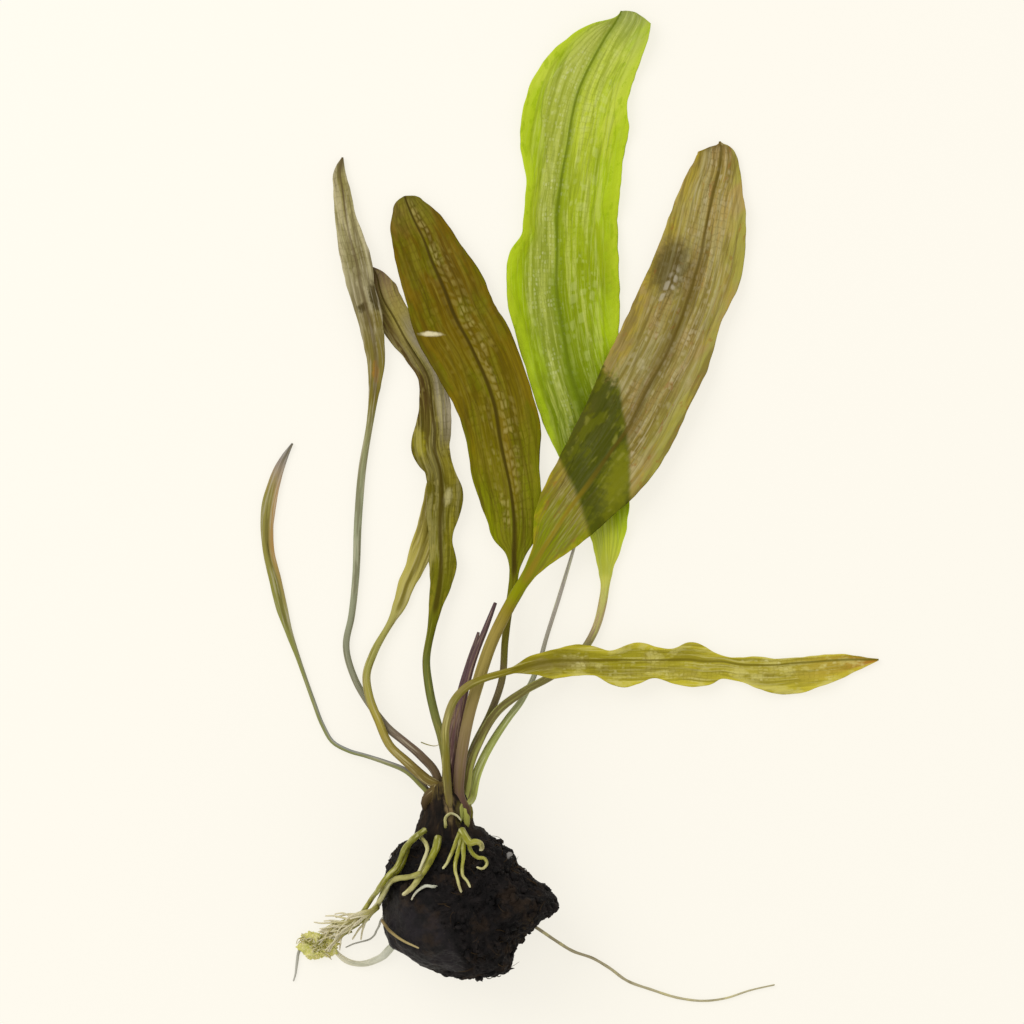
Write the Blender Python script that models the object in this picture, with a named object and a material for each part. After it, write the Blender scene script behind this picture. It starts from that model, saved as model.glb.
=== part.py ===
"""A Madagascar lace plant without its pot, lying flat.

The plug of soil lies at the lower end, the neck of the tuber grows out of it, and the
leaves fan out along +Y and to both sides. Each leaf is one grown piece: a round stalk
that widens into a thin blade with a tapering midrib. The roots are laid over the soil
and over each other.

Lengths below are millimetres. X runs to the right, Y along the plant towards the tips
of the leaves, and Z up from the surface that the plant lies on.
"""

import math
from dataclasses import dataclass

import bmesh
import bpy
import numpy as np
from mathutils import Vector, noise
from mathutils.bvhtree import BVHTree

MM = 0.001

# Clearance kept between neighbouring pieces
GAP = 0.3

# Leaf blades
SHEET = 0.9
LEAF_SIDES = 8
LEAF_STEP = 6.0
TIP_RIB = 0.5

# Roots
ROOT_SIDES = 6
ROOT_STEP = 2.0
ROOT_TIP_SHARE = 0.55
ROOT_SMOOTHING = 6

# Plug of soil: where its middle is, its height, and its outline seen from above as
# (degrees from +X, reach)
CLOD_CENTRE = (-28.0, -107.5, 18.5)
CLOD_HALF_HEIGHT = 21.5
CLOD_OUTLINE = (
    (-168, 24.3), (-151, 25), (-133, 23.5), (-112, 22.4), (-82, 23.2), (-62, 23.7),
    (-50, 20.3), (-36, 21.2), (-20, 22.5), (-5, 25.2), (8, 22.5), (20, 19),
    (38, 17), (62, 17), (79, 18), (105, 18.5), (121, 20), (136, 22.6), (150, 23.7),
    (172, 23.7),
)
OUTLINE_BLUR = 5.5
CLOD_BLUNTNESS = 2.5
CLOD_AROUND = 44
CLOD_UP = 30
LUMP_SIZE = 9.0
LUMP_HEIGHT = 1.5
CRUMB_SIZE = 3.6
CRUMB_HEIGHT = 0.7

# Neck of the tuber: (x, y, z, radius) from the stalks down into the soil
CROWN = (
    (-33.9, -81.6, 21.0, 6.1), (-34.0, -82.6, 21.0, 6.6), (-34.2, -86, 21.1, 7.3),
    (-34.2, -90, 21.0, 8.2), (-33.0, -96, 20.6, 7.4), (-32.0, -100, 20.2, 5.2),
    (-31.5, -102, 20.0, 3.0),
)
CROWN_SIDES = 16
CROWN_STEP = 1.6
CROWN_KNOBS = 0.45
SOCKET_GAP = 0.35

# How far above the table a sight line starts when it looks for the top of a piece
SKY = 100.0


@dataclass(frozen=True)
class Leaf:
    """One leaf: stalk points (x, y, z, radius), blade points (x, y, z, left, right).

    Left and right are the reach of the blade on each side of its midrib, seen from
    above while looking from the stalk to the tip.
    """

    name: str
    colour: tuple
    stalk: tuple
    blade: tuple = ()
    ruffle: float = 0.0
    wave: float = 20.0
    cup: float = 0.0


@dataclass(frozen=True)
class Root:
    """One root: its points (x, y, z) before it is laid over what lies below it."""

    name: str
    colour: tuple
    radius: float
    route: tuple


GREEN = (0.36, 0.52, 0.03)
OLIVE = (0.22, 0.21, 0.03)
TAN_OLIVE = (0.30, 0.26, 0.07)
DARK_OLIVE = (0.14, 0.11, 0.01)
KHAKI = (0.28, 0.26, 0.13)
YELLOW_OLIVE = (0.40, 0.37, 0.04)
BROWN = (0.26, 0.15, 0.05)
GREY_GREEN = (0.16, 0.17, 0.08)
PURPLE_BROWN = (0.08, 0.04, 0.03)
ROOT_GREEN = (0.33, 0.36, 0.04)
ROOT_PALE = (0.55, 0.57, 0.33)
ROOT_TAN = (0.30, 0.22, 0.08)
ROOT_GREY = (0.20, 0.20, 0.19)
CROWN_BROWN = (0.022, 0.012, 0.007)
SOIL = (0.013, 0.010, 0.011)

LEAVES = (
    Leaf(
        name="leaf_tall_green", colour=GREEN, ruffle=1.5, wave=24, cup=0.6,
        stalk=(
            (-29, -80.5, 20.5, 1.2), (-28, -73, 20, 1.2), (-25.5, -66, 15, 1.2),
            (-20, -57, 9.5, 1.2), (-12.5, -51.5, 6, 1.1), (-5, -47.5, 3.6, 1.1),
            (2, -42.5, 1.9, 1.1), (7, -35, 1.4, 1.1), (9.3, -27, 1.4, 1.2),
            (10, -22, 1.4, 1.3),
        ),
        blade=(
            (10, -18, 1.4, 2, 2.25), (9.7, -10, 1.2, 3.5, 5.5), (9, -2.5, 1.2, 4.75, 7.5),
            (8, 6, 1.1, 6.75, 8.75), (6.5, 14, 1.1, 9, 10), (4, 25.5, 1.1, 11.5, 10.75),
            (0.5, 37, 1, 11.75, 13.25), (-2, 49, 1, 13, 15.75), (-3.5, 60.5, 1, 14.25, 17.25),
            (-3.5, 71.5, 1, 13, 16.75), (-3.5, 81, 1, 9.5, 16.75), (-2.5, 89.5, 1, 9.75, 16.75),
            (-1, 99.5, 1, 13, 16), (0.5, 108, 1, 13.75, 16), (3, 117, 1.2, 13, 14),
            (7, 126, 1.6, 9.25, 13), (11, 132, 2, 5.5, 11), (15, 135.5, 2.2, 2.5, 9),
            (18.5, 137.5, 2.2, 1, 5), (22, 137, 2.2, 0.25, 0.25),
        ),
    ),
    Leaf(
        name="leaf_brown_right", colour=TAN_OLIVE, ruffle=1.3, wave=26, cup=0.4,
        stalk=(
            (-30.5, -80.5, 24, 1.8), (-30.5, -73, 24, 1.8), (-29.5, -65.5, 23, 1.9),
            (-28, -58, 21, 1.9), (-25.5, -49, 18.5, 2), (-22, -38.5, 15.5, 2.1),
            (-18.5, -31, 12.5, 2.1), (-15.5, -25.5, 11, 2),
        ),
        blade=(
            (-11.5, -19, 9.3, 2, 2), (-8, -13, 8.3, 2.75, 4.75), (-3.5, -6, 7.3, 6.25, 8),
            (1, 0.5, 6.6, 8, 10), (6.5, 8, 6, 9.5, 12), (11.5, 15, 5.4, 11, 13.25),
            (17, 23.5, 5, 12.25, 13.25), (22, 33, 4.6, 13.5, 12.5), (27.5, 43.5, 4, 14.25, 12.25),
            (32, 54.5, 3, 14, 10.75), (35.5, 66, 2.2, 12.5, 12.25), (38, 77, 1.6, 11, 11),
            (40, 87, 1.2, 9.25, 8.75), (42, 94.5, 1, 7.5, 6), (42.5, 98, 0.9, 6, 3.75),
            (42, 102, 0.8, 0.25, 0.25),
        ),
    ),
    Leaf(
        name="leaf_brown_left", colour=DARK_OLIVE, ruffle=1.0, wave=22, cup=0.3,
        stalk=(
            (-30.3, -80.5, 16.2, 1.1), (-29, -74, 13.8, 1.1), (-27, -67.5, 10, 1),
            (-22, -57.5, 6.6, 1), (-19, -49, 5.2, 1), (-18, -37.5, 4.2, 1),
            (-17, -29, 3.6, 1.1), (-16, -23, 3.3, 1.2),
        ),
        blade=(
            (-15.5, -18, 3.1, 1.5, 1.75), (-15.5, -12.5, 2.9, 2.75, 3), (-15.5, -5.5, 2.7, 6.25, 6),
            (-16, 1.5, 2.6, 8, 7.75), (-17.5, 10, 2.7, 9.75, 9), (-19.5, 19.5, 3, 9.5, 11.75),
            (-21.5, 29.5, 3.3, 10.5, 11.25), (-24.5, 38.5, 3.6, 12, 11.25),
            (-27.5, 44.5, 3.8, 12.25, 11.75), (-31, 50.5, 3.8, 12.25, 11.5),
            (-35, 60.5, 3.4, 11.25, 11.25), (-38.5, 68.5, 2.6, 10, 9.5), (-41, 75, 2, 9, 8),
            (-43.5, 80, 1.6, 7.5, 6.5), (-45, 83.5, 1.3, 4.5, 3.75), (-46, 86.5, 1.1, 0.25, 0.25),
        ),
    ),
    Leaf(
        name="leaf_khaki_upper", colour=KHAKI, ruffle=0.5, wave=16, cup=0.5,
        stalk=(
            (-38.2, -80, 19.2, 1.2), (-41.5, -73, 14, 1.2), (-46.5, -67, 8, 1.2),
            (-51.5, -62, 4, 1.2), (-56, -56, 2, 1.2), (-60, -48.5, 1.3, 1.1),
            (-62.5, -39, 1.3, 1.1), (-61, -31, 1.3, 1.1), (-59.8, -20, 1.3, 1.1),
            (-59.2, -5, 1.3, 1.1), (-58, 10, 1.3, 1.1), (-55.7, 24, 1.4, 1),
        ),
        blade=(
            (-54.5, 33, 1.8, 1.6, 1.6), (-54, 40, 2.4, 2.5, 2.5), (-55, 47.5, 3.2, 3, 3.25),
            (-56.5, 54.5, 3.7, 3.4, 4), (-58, 60.5, 3.9, 3.75, 3.75), (-59.5, 68, 3.7, 4.25, 4.25),
            (-61, 74, 3, 3.75, 3.75), (-62.5, 81, 2.4, 3, 2.75), (-63.5, 88, 1.8, 2.5, 2.25),
            (-64.3, 93, 1.4, 1.75, 1.75), (-63.5, 97.5, 1, 0.25, 0.25),
        ),
    ),
    Leaf(
        name="leaf_twisted", colour=OLIVE, ruffle=0.6, wave=14, cup=0.3,
        stalk=(
            (-34, -80.5, 22.5, 1.2), (-34.2, -71.5, 21.5, 1.2), (-35.5, -64.5, 17, 1.2),
            (-37.5, -58, 12, 1.2), (-39.3, -50, 7.2, 1.2), (-40, -43.5, 4.8, 1.1),
            (-38.5, -34, 3.6, 1.2),
        ),
        blade=(
            (-37.5, -28, 3.4, 1.75, 2), (-36.5, -22, 3.2, 2.5, 3.5), (-36, -16, 3.1, 3.25, 4.5),
            (-36, -9.5, 3, 3.25, 3.25), (-36, -2.5, 3, 4, 5.25), (-35.5, 4, 3, 4.25, 5.75),
            (-36, 10, 2.7, 4.5, 3.75), (-38, 16.5, 2.2, 6.25, 4.5), (-38, 22.5, 1.6, 5, 5),
            (-38.5, 29.5, 1.2, 3.5, 5), (-39.5, 36, 1, 3, 4.5), (-43, 42.5, 0.9, 3.25, 4.25),
            (-46.5, 48, 0.9, 3.5, 4.25), (-49.5, 53, 0.8, 3.25, 4.75), (-52, 57.5, 0.8, 3, 5),
            (-53.2, 61.2, 0.7, 2.5, 5.2), (-54, 64.5, 0.7, 1.5, 3), (-55.2, 66.8, 0.7, 0.25, 0.25),
        ),
    ),
    Leaf(
        name="leaf_short_behind", colour=OLIVE, ruffle=0.2, wave=14,
        stalk=(
            (-37.2, -80, 23.2, 1.2), (-40.5, -73, 18, 1.2), (-45.5, -68, 13, 1.2),
            (-50, -64, 9.4, 1.2), (-53.5, -59.5, 7, 1.2), (-56, -55, 5.4, 1.2),
            (-56.5, -50, 4, 1.2), (-55.5, -44, 2.4, 1.2), (-50.5, -34, 1.4, 1.2),
        ),
        blade=(
            (-47.5, -27.5, 1.3, 1.9, 1.9), (-45.5, -22, 1.1, 2.5, 2.25), (-43.5, -17.5, 0.9, 2.6, 2.75),
            (-41.5, -12.5, 0.8, 3.25, 3.25), (-39.5, -6, 0.7, 3, 3.25), (-38.5, 1, 0.7, 2.5, 3),
            (-37.5, 7, 0.7, 2.1, 2.6), (-36, 14, 0.6, 0.25, 0.25),
        ),
    ),
    Leaf(
        name="leaf_wavy_side", colour=YELLOW_OLIVE, ruffle=1.6, wave=17, cup=0.3,
        stalk=(
            (-33.5, -80.5, 26.3, 1.1), (-34.2, -70, 26.6, 1.1), (-34, -59, 25.6, 1.1),
            (-32, -53.5, 24.8, 1.1), (-28.5, -49.8, 23.8, 1.1), (-23.5, -47.5, 22.2, 1),
            (-20, -46.5, 20.6, 1),
        ),
        blade=(
            (-16, -45.5, 18.2, 1, 1), (-11, -44, 15.2, 2.25, 3), (-5.5, -43, 12.4, 3, 5),
            (1.5, -43, 9.8, 4.5, 4.25), (6.5, -43, 8.1, 4, 4.25), (11.5, -43, 6.6, 2.75, 6.75),
            (15, -43, 5.8, 4, 7.5), (19, -43, 5, 5, 6.5), (24, -43, 4.1, 3.75, 5),
            (28.5, -43, 3.4, 3.25, 6.5), (33.5, -43, 2.8, 5, 7.5), (38, -43.5, 2.3, 4, 6.75),
            (42.5, -43.5, 1.9, 1.75, 5), (47.5, -44.3, 1.5, 2, 4.75), (52.5, -44.5, 1.2, 2.5, 6.5),
            (57.5, -44.5, 1, 1.75, 8), (62.5, -44, 0.9, 1.5, 8.5), (69.5, -43.5, 0.9, 1.75, 7),
            (77, -43, 0.8, 1.5, 4.75), (82.5, -43, 0.8, 0.75, 2.25), (86.5, -43, 0.7, 0.25, 0.25),
        ),
    ),
    Leaf(
        name="leaf_narrow_left", colour=BROWN, ruffle=0.3, wave=18, cup=0.2,
        stalk=(
            (-39, -80.5, 16.5, 0.9), (-42, -76.5, 13, 0.9), (-45.5, -73.7, 9.8, 0.8),
            (-51, -71.6, 6, 0.7), (-57, -69.8, 3, 0.6), (-62, -68.4, 1.5, 0.6),
            (-66.3, -66, 0.8, 0.6), (-69, -61.5, 0.7, 0.6), (-71.7, -54.5, 0.7, 0.6),
            (-74.2, -47.5, 0.7, 0.6), (-76.3, -41.5, 0.7, 0.7),
        ),
        blade=(
            (-78.4, -35.5, 0.8, 1, 1), (-80.5, -28.5, 0.8, 1.6, 1.6), (-82.5, -20, 0.8, 1.7, 1.7),
            (-84.2, -12.5, 0.8, 1.6, 1.6), (-84.6, -5.5, 0.8, 1.8, 1.8), (-84.1, 0, 0.8, 2, 2),
            (-83, 5, 0.8, 1.75, 1.75), (-81.2, 10.5, 0.8, 1.4, 1.4), (-79, 15, 0.7, 0.75, 0.75),
            (-77.5, 17.5, 0.7, 0.25, 0.25),
        ),
    ),
)

STALKS = (
    Leaf(
        name="stalk_bare", colour=GREY_GREEN,
        stalk=(
            (-27.2, -80.5, 16.6, 1.3), (-26.2, -75.5, 15.4, 1.3), (-24, -70, 12.3, 1.2),
            (-20.5, -64, 8.8, 1.1), (-17, -59, 5.6, 1), (-13.5, -54.5, 3, 0.9),
            (-11, -50, 1.5, 0.8), (-8.5, -44, 0.8, 0.7), (-6.5, -37, 0.7, 0.6),
            (-3.2, -26.5, 0.7, 0.6), (0, -16, 0.7, 0.5), (1.5, -11, 0.6, 0.4),
        ),
    ),
    Leaf(
        name="stub_long", colour=PURPLE_BROWN,
        stalk=(
            (-31.9, -80.5, 19.4, 0.9), (-31.6, -73, 19.6, 0.9), (-31, -65.5, 18.6, 0.9),
            (-30.2, -58, 17, 0.9), (-28.7, -50, 15.2, 0.9), (-26.6, -42, 13, 0.8),
            (-23.4, -34, 10.6, 0.7), (-20.7, -27, 8.6, 0.5),
        ),
    ),
    Leaf(
        name="stub_short", colour=PURPLE_BROWN,
        stalk=(
            (-33.9, -80.5, 17.3, 0.8), (-33.5, -73, 17.6, 0.8), (-32.8, -65.5, 16.8, 0.8),
            (-31.6, -59, 15.2, 0.8), (-30, -51, 13.2, 0.8), (-27.9, -43.5, 11.2, 0.7),
            (-25.4, -35.2, 9, 0.4),
        ),
    ),
)

ROOTS = (
    Root("root_left_middle", ROOT_GREEN, 1.3, (
        (-37, -92.5, 30), (-37.5, -95.5, 32), (-39, -98.5, 33), (-41, -101.5, 33),
        (-43, -104.5, 32), (-44.2, -107.8, 32))),
    Root("root_left_inner", ROOT_PALE, 0.9, (
        (-40.8, -91.5, 28), (-40.6, -94, 30), (-41.8, -97, 32), (-44, -99.4, 32),
        (-46.2, -101.8, 31), (-47.5, -104.5, 30), (-48.7, -107.5, 28))),
    Root("root_left_outer", ROOT_GREEN, 1.0, (
        (-41.5, -89, 27), (-44, -91, 26), (-45.2, -94.5, 26), (-46, -97.5, 26),
        (-48, -100.5, 25), (-50.5, -104, 22), (-53.2, -108.5, 16), (-55.8, -111.8, 11),
        (-58.5, -114.2, 7), (-61.5, -116.8, 4), (-65.5, -119, 2), (-69, -120.8, 1.4),
        (-72, -122.4, 1.1))),
    Root("root_left_cross", ROOT_PALE, 0.8, (
        (-47.8, -101.4, 31), (-49.6, -103, 28), (-51.6, -105.6, 23), (-53, -110, 16),
        (-56, -114.5, 8), (-59.8, -118.5, 2.5), (-64, -121.5, 1), (-68.5, -123.8, 1),
        (-73.5, -124.2, 1))),
    Root("root_left_upper", ROOT_GREEN, 0.8, (
        (-54, -110.6, 13), (-57, -112.6, 9), (-60.5, -114.4, 6), (-64.5, -115.8, 4),
        (-68.5, -116.8, 2.6), (-72.5, -118.6, 1.4), (-76.3, -120, 0.9))),
    Root("root_arch", ROOT_PALE, 1.1, (
        (-50, -122, 9), (-52.6, -125.6, 5), (-55.8, -127.8, 2.6), (-60, -128.2, 1.4),
        (-64, -127.4, 1.2), (-68, -126, 1.2), (-71.5, -125.6, 1.2))),
    Root("root_thin_grey", ROOT_GREY, 0.4, (
        (-53.4, -113.4, 13), (-54, -116.5, 9), (-54.6, -120, 5), (-56.4, -122.4, 2.4),
        (-60, -123.6, 0.8), (-63.4, -124.8, 0.5))),
    Root("root_far_left", ROOT_TAN, 0.4, (
        (-73.6, -123, 0.5), (-75.8, -125, 0.5), (-76.7, -128, 0.5), (-77, -132, 0.5))),
    Root("root_tan", ROOT_TAN, 0.5, (
        (-50.5, -115.5, 20), (-49, -117.5, 22), (-46, -119.5, 25), (-42.5, -121, 26))),
    Root("root_white_hook", ROOT_PALE, 0.6, (
        (-46.2, -110.2, 31), (-44.6, -109.8, 33), (-42, -108.6, 34), (-39.6, -106.4, 36),
        (-37.3, -105.8, 37))),
    Root("root_front_curl", ROOT_PALE, 0.6, (
        (-35.6, -87.5, 30), (-35.4, -85.2, 30), (-33.6, -84, 30), (-31.8, -84.6, 30),
        (-31, -86.6, 30))),
    Root("root_front_long", ROOT_GREEN, 0.9, (
        (-31.2, -89, 31), (-33, -91.8, 34), (-34.4, -95, 36), (-36, -99.5, 38))),
    Root("root_front_mid", ROOT_GREEN, 0.9, (
        (-29.6, -90.2, 31), (-31, -92.8, 34), (-32, -96, 37), (-32.4, -99.6, 39))),
    Root("root_front_right", ROOT_GREEN, 0.9, (
        (-27.8, -91.5, 32), (-28.8, -95, 36), (-29.2, -99.6, 39), (-27.8, -103.5, 41))),
    Root("root_front_hook", ROOT_GREEN, 0.7, (
        (-26.2, -92, 33), (-26, -94.4, 36), (-24.6, -96.2, 37), (-22.4, -97, 37),
        (-22, -98.8, 38), (-23.6, -100, 39), (-25.6, -98.8, 39))),
    Root("root_front_short", ROOT_GREEN, 0.7, (
        (-26.8, -89.4, 32), (-24.6, -90, 33), (-23.6, -92, 35))),
    Root("root_long_right", ROOT_TAN, 0.5, (
        (-8.5, -118, 7), (-4, -121.3, 4), (1, -124.5, 2), (6.5, -127.2, 0.9),
        (11.8, -130, 0.6), (17, -133, 0.6), (23, -135.5, 0.6), (31, -138, 0.6),
        (38.5, -138.6, 0.6), (44.5, -137.3, 0.6), (50.5, -135.6, 0.6), (57.5, -134, 0.6))),
)


def clear_scene():
    """Remove every object that is there."""
    for obj in list(bpy.data.objects):
        bpy.data.objects.remove(obj, do_unlink=True)


def matte(name, colour, roughness=0.6):
    """A non-metal material of one colour."""
    material = bpy.data.materials.new(name)
    material.use_nodes = True
    shader = material.node_tree.nodes["Principled BSDF"]
    shader.inputs["Base Color"].default_value = (*colour, 1.0)
    shader.inputs["Roughness"].default_value = roughness
    shader.inputs["Metallic"].default_value = 0.0
    return material


def add_object(name, bm, material):
    """Turn a finished bmesh into a smooth-shaded object of triangles with its material."""
    bmesh.ops.triangulate(bm, faces=bm.faces)
    bmesh.ops.recalc_face_normals(bm, faces=bm.faces)
    mesh = bpy.data.meshes.new(name)
    bm.to_mesh(mesh)
    bm.free()
    mesh.shade_smooth()
    mesh.materials.append(material)
    obj = bpy.data.objects.new(name, mesh)
    bpy.context.collection.objects.link(obj)
    return obj


def smooth_rows(rows, step):
    """Read a smooth curve through rows of numbers, the first three a place, every step."""
    rows = np.array(rows, dtype=float)
    legs = np.linalg.norm(np.diff(rows[:, :3], axis=0), axis=1)
    knots = np.concatenate(([0.0], np.cumsum(legs)))
    slopes = np.gradient(rows, knots, axis=0)
    count = max(2, round(knots[-1] / step))
    along = np.linspace(0.0, knots[-1], count + 1)
    low = np.clip(np.searchsorted(knots, along, side="right") - 1, 0, len(knots) - 2)
    span = (knots[low + 1] - knots[low])[:, None]
    t = (along - knots[low])[:, None] / span
    start = (1 + 2 * t) * (1 - t) ** 2 * rows[low] + t * (1 - t) ** 2 * span * slopes[low]
    end = t * t * (3 - 2 * t) * rows[low + 1] + t * t * (t - 1) * span * slopes[low + 1]
    return start + end, along


def side_and_up(centres):
    """Unit vectors across a route, to its right and to its upper side, at each point."""
    forward = np.gradient(centres, axis=0)
    forward /= np.linalg.norm(forward, axis=1, keepdims=True)
    side = np.cross(forward, (0.0, 0.0, 1.0))
    side /= np.linalg.norm(side, axis=1, keepdims=True)
    return side, np.cross(side, forward)


def loft(name, rings, material):
    """A closed solid through rings of points: a grid is rolled up, welded and capped."""
    sides = len(rings[0])
    lengths = len(rings) - 1
    bm = bmesh.new()
    bmesh.ops.create_grid(bm, x_segments=sides, y_segments=lengths, size=1.0)
    for vert in bm.verts:
        around = round((vert.co.x + 1) / 2 * sides) % sides
        along = round((vert.co.y + 1) / 2 * lengths)
        vert.co = Vector(rings[along][around]) * MM
    bmesh.ops.remove_doubles(bm, verts=bm.verts, dist=1e-6)
    bmesh.ops.holes_fill(bm, edges=bm.edges, sides=sides)
    return add_object(name, bm, material)


def leaf_rows(leaf):
    """Rows (x, y, z, left, right, rib, flatness): round stalk first, then the flat blade."""
    rows = [(x, y, z, radius, radius, radius, 0.0) for x, y, z, radius in leaf.stalk]
    neck = leaf.stalk[-1][3]
    for index, (x, y, z, left, right) in enumerate(leaf.blade):
        share = index / (len(leaf.blade) - 1)
        rib = neck + (TIP_RIB - neck) * share ** 0.5
        rows.append((x, y, z, left, right, rib, 1.0))
    return rows


def leaf_rings(leaf):
    """The cross-sections of a leaf: a circle on the stalk, a thin sheet on the blade."""
    rows, along = smooth_rows(leaf_rows(leaf), LEAF_STEP)
    centres = rows[:, :3]
    side, up = side_and_up(centres)
    rings = []
    for index, (row, place) in enumerate(zip(rows, along)):
        left, right = np.maximum(row[3:5], 0.2)
        rib = max(row[5], 0.2)
        flat = float(np.clip(row[6], 0.0, 1.0))
        ring = []
        for corner in range(LEAF_SIDES):
            angle = 2 * math.pi * corner / LEAF_SIDES
            across, height = math.cos(angle), math.sin(angle)
            reach = right if across > 0 else left
            share = round(2 * across * abs(across)) / 2
            offset = reach * (across + (share - across) * flat)
            edge = math.sin(2 * math.pi * place / leaf.wave + (1.3 if across > 0 else 3.6))
            lift = flat * share ** 2 * (leaf.cup + leaf.ruffle * (1 + edge) / 2) * min(1, reach / 4)
            middle = abs(share) < 0.1
            half = rib if middle else SHEET / 2 / math.sin(math.pi / 4)
            thick = height * (rib + (half - rib) * flat)
            ring.append(centres[index] + side[index] * offset + up[index] * (lift + thick))
        rings.append(ring)
    return rings


def tube_rings(points, radii, sides):
    """Round cross-sections along a route."""
    side, up = side_and_up(points)
    angles = [2 * math.pi * corner / sides for corner in range(sides)]
    return [
        [points[i] + radii[i] * (side[i] * math.cos(a) + up[i] * math.sin(a)) for a in angles]
        for i in range(len(points))
    ]


def outline_reach(outline, azimuth):
    """The reach of a closed outline at an azimuth in radians, smooth between its points."""
    angles = np.radians([angle for angle, _ in outline])
    reaches = np.array([reach for _, reach in outline])
    around = np.concatenate((angles - 2 * math.pi, angles, angles + 2 * math.pi))
    distance = (around - azimuth) / math.radians(OUTLINE_BLUR)
    weights = np.exp(-distance ** 2 / 2)
    return float(np.sum(weights * np.tile(reaches, 3)) / np.sum(weights))


def crown_rings(extra):
    """Cross-sections of the tuber's neck, knobbly, grown outwards by extra."""
    rows, _ = smooth_rows(CROWN, CROWN_STEP)
    points = rows[:, :3]
    rings = tube_rings(points, rows[:, 3], CROWN_SIDES)
    shaped = []
    for point, ring in zip(points, rings):
        out = []
        for corner in ring:
            outward = (corner - point) / np.linalg.norm(corner - point)
            knob = noise.noise(Vector(corner) / 3.2) * CROWN_KNOBS
            out.append(corner + outward * (knob + extra))
        shaped.append(out)
    return shaped


def make_crown():
    """The neck of the tuber, and the slightly larger shape that cuts its socket."""
    crown = loft("tuber_crown", crown_rings(0.0), matte("crown", CROWN_BROWN, 0.7))
    rings = crown_rings(SOCKET_GAP)
    rings[-1] = [corner + np.array((0.2, -0.8, 0.0)) for corner in rings[-1]]
    cutter = loft("socket_cutter", rings, matte("cutter", SOIL))
    cutter.hide_render = True
    cutter.display_type = "WIRE"
    return crown, cutter


def make_clod(cutter):
    """The plug of soil: a lumpy rounded block, flat where it rests, with the crown's socket."""
    bm = bmesh.new()
    bmesh.ops.create_uvsphere(bm, u_segments=CLOD_AROUND, v_segments=CLOD_UP, radius=1.0)
    for vert in bm.verts:
        direction = vert.co.normalized()
        level = math.hypot(direction.x, direction.y)
        azimuth = math.atan2(direction.y, direction.x)
        power = 2 / CLOD_BLUNTNESS
        reach = outline_reach(CLOD_OUTLINE, azimuth) * level ** power
        height = math.copysign(abs(direction.z) ** power, direction.z) * CLOD_HALF_HEIGHT
        place = Vector((reach * math.cos(azimuth), reach * math.sin(azimuth), height))
        lump = noise.noise(place / LUMP_SIZE + Vector((3.1, 0.7, 5.2))) * LUMP_HEIGHT
        crumb = noise.noise(place / CRUMB_SIZE + Vector((9.4, 2.2, 1.9))) * CRUMB_HEIGHT
        place += direction * (lump + crumb)
        vert.co = (place + Vector(CLOD_CENTRE)) * MM
    everything = bm.verts[:] + bm.edges[:] + bm.faces[:]
    cut = bmesh.ops.bisect_plane(
        bm, geom=everything, plane_co=(0, 0, 0), plane_no=(0, 0, -1), clear_outer=True)
    rim = [item for item in cut["geom_cut"] if isinstance(item, bmesh.types.BMEdge)]
    bmesh.ops.contextual_create(bm, geom=rim)
    clod = add_object("soil_clod", bm, matte("soil", SOIL, 0.9))
    socket = clod.modifiers.new("socket", "BOOLEAN")
    socket.operation = "DIFFERENCE"
    socket.solver = "EXACT"
    socket.object = cutter
    return clod


def surface_of(obj):
    """A searchable copy of an object's surface."""
    mesh = obj.data
    corners = [vert.co.copy() for vert in mesh.vertices]
    return BVHTree.FromPolygons(corners, [face.vertices[:] for face in mesh.polygons])


def top_at(surfaces, x, y, reach):
    """The highest point of the surfaces within reach of a spot, or None."""
    spots = [(x, y)]
    for corner in range(8):
        angle = math.pi * corner / 4
        spots.append((x + reach * math.cos(angle), y + reach * math.sin(angle)))
    tops = []
    for spot_x, spot_y in spots:
        start = Vector((spot_x, spot_y, SKY)) * MM
        for surface in surfaces:
            hit = surface.ray_cast(start, Vector((0, 0, -1)))[0]
            if hit is not None:
                tops.append(hit.z / MM)
    return max(tops, default=None)


def laid_over(root, surfaces):
    """The route of a root, lifted clear of the surfaces below it and then smoothed."""
    rows, _ = smooth_rows(root.route, ROOT_STEP)
    lowest = rows[:, 2].copy()
    for index, (x, y, z) in enumerate(rows):
        top = top_at(surfaces, x, y, root.radius + GAP)
        if top is not None:
            lowest[index] = max(z, top + root.radius + 1.5 * GAP)
    height = lowest.copy()
    for _ in range(ROOT_SMOOTHING):
        padded = np.concatenate((height[:1], height, height[-1:]))
        height = np.maximum(lowest, (padded[:-2] + padded[1:-1] + padded[2:]) / 3)
    rows[:, 2] = height
    return rows


def make_root(root, surfaces):
    """One root: a thin tube that tapers to its tip."""
    points = laid_over(root, surfaces)
    share = np.linspace(0.0, 1.0, len(points))
    radii = root.radius * (1 - (1 - ROOT_TIP_SHARE) * share ** 2)
    material = matte(root.name, root.colour, 0.5)
    return loft(root.name, tube_rings(points, radii, ROOT_SIDES), material)


def main():
    """Build the plant."""
    clear_scene()
    crown, cutter = make_crown()
    clod = make_clod(cutter)
    for leaf in LEAVES + STALKS:
        loft(leaf.name, leaf_rings(leaf), matte(leaf.name, leaf.colour))
    surfaces = [surface_of(clod), surface_of(crown)]
    for root in ROOTS:
        surfaces.append(surface_of(make_root(root, surfaces)))


main()
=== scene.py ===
"""A Madagascar lace plant without its pot, laid on a pale table and seen from above.

The plug of wet soil lies at the lower end, the neck of the tuber grows out of it, and
the leaves fan out from there. Lengths in the tables are millimetres in the frame of the
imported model: X to the right, Y from the soil to the leaf tips, Z up from the table.
"""

import logging
import math
from dataclasses import dataclass
from enum import Enum

import bmesh
import bpy
import numpy as np
from mathutils import Matrix, Vector, noise
from mathutils.bvhtree import BVHTree


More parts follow.
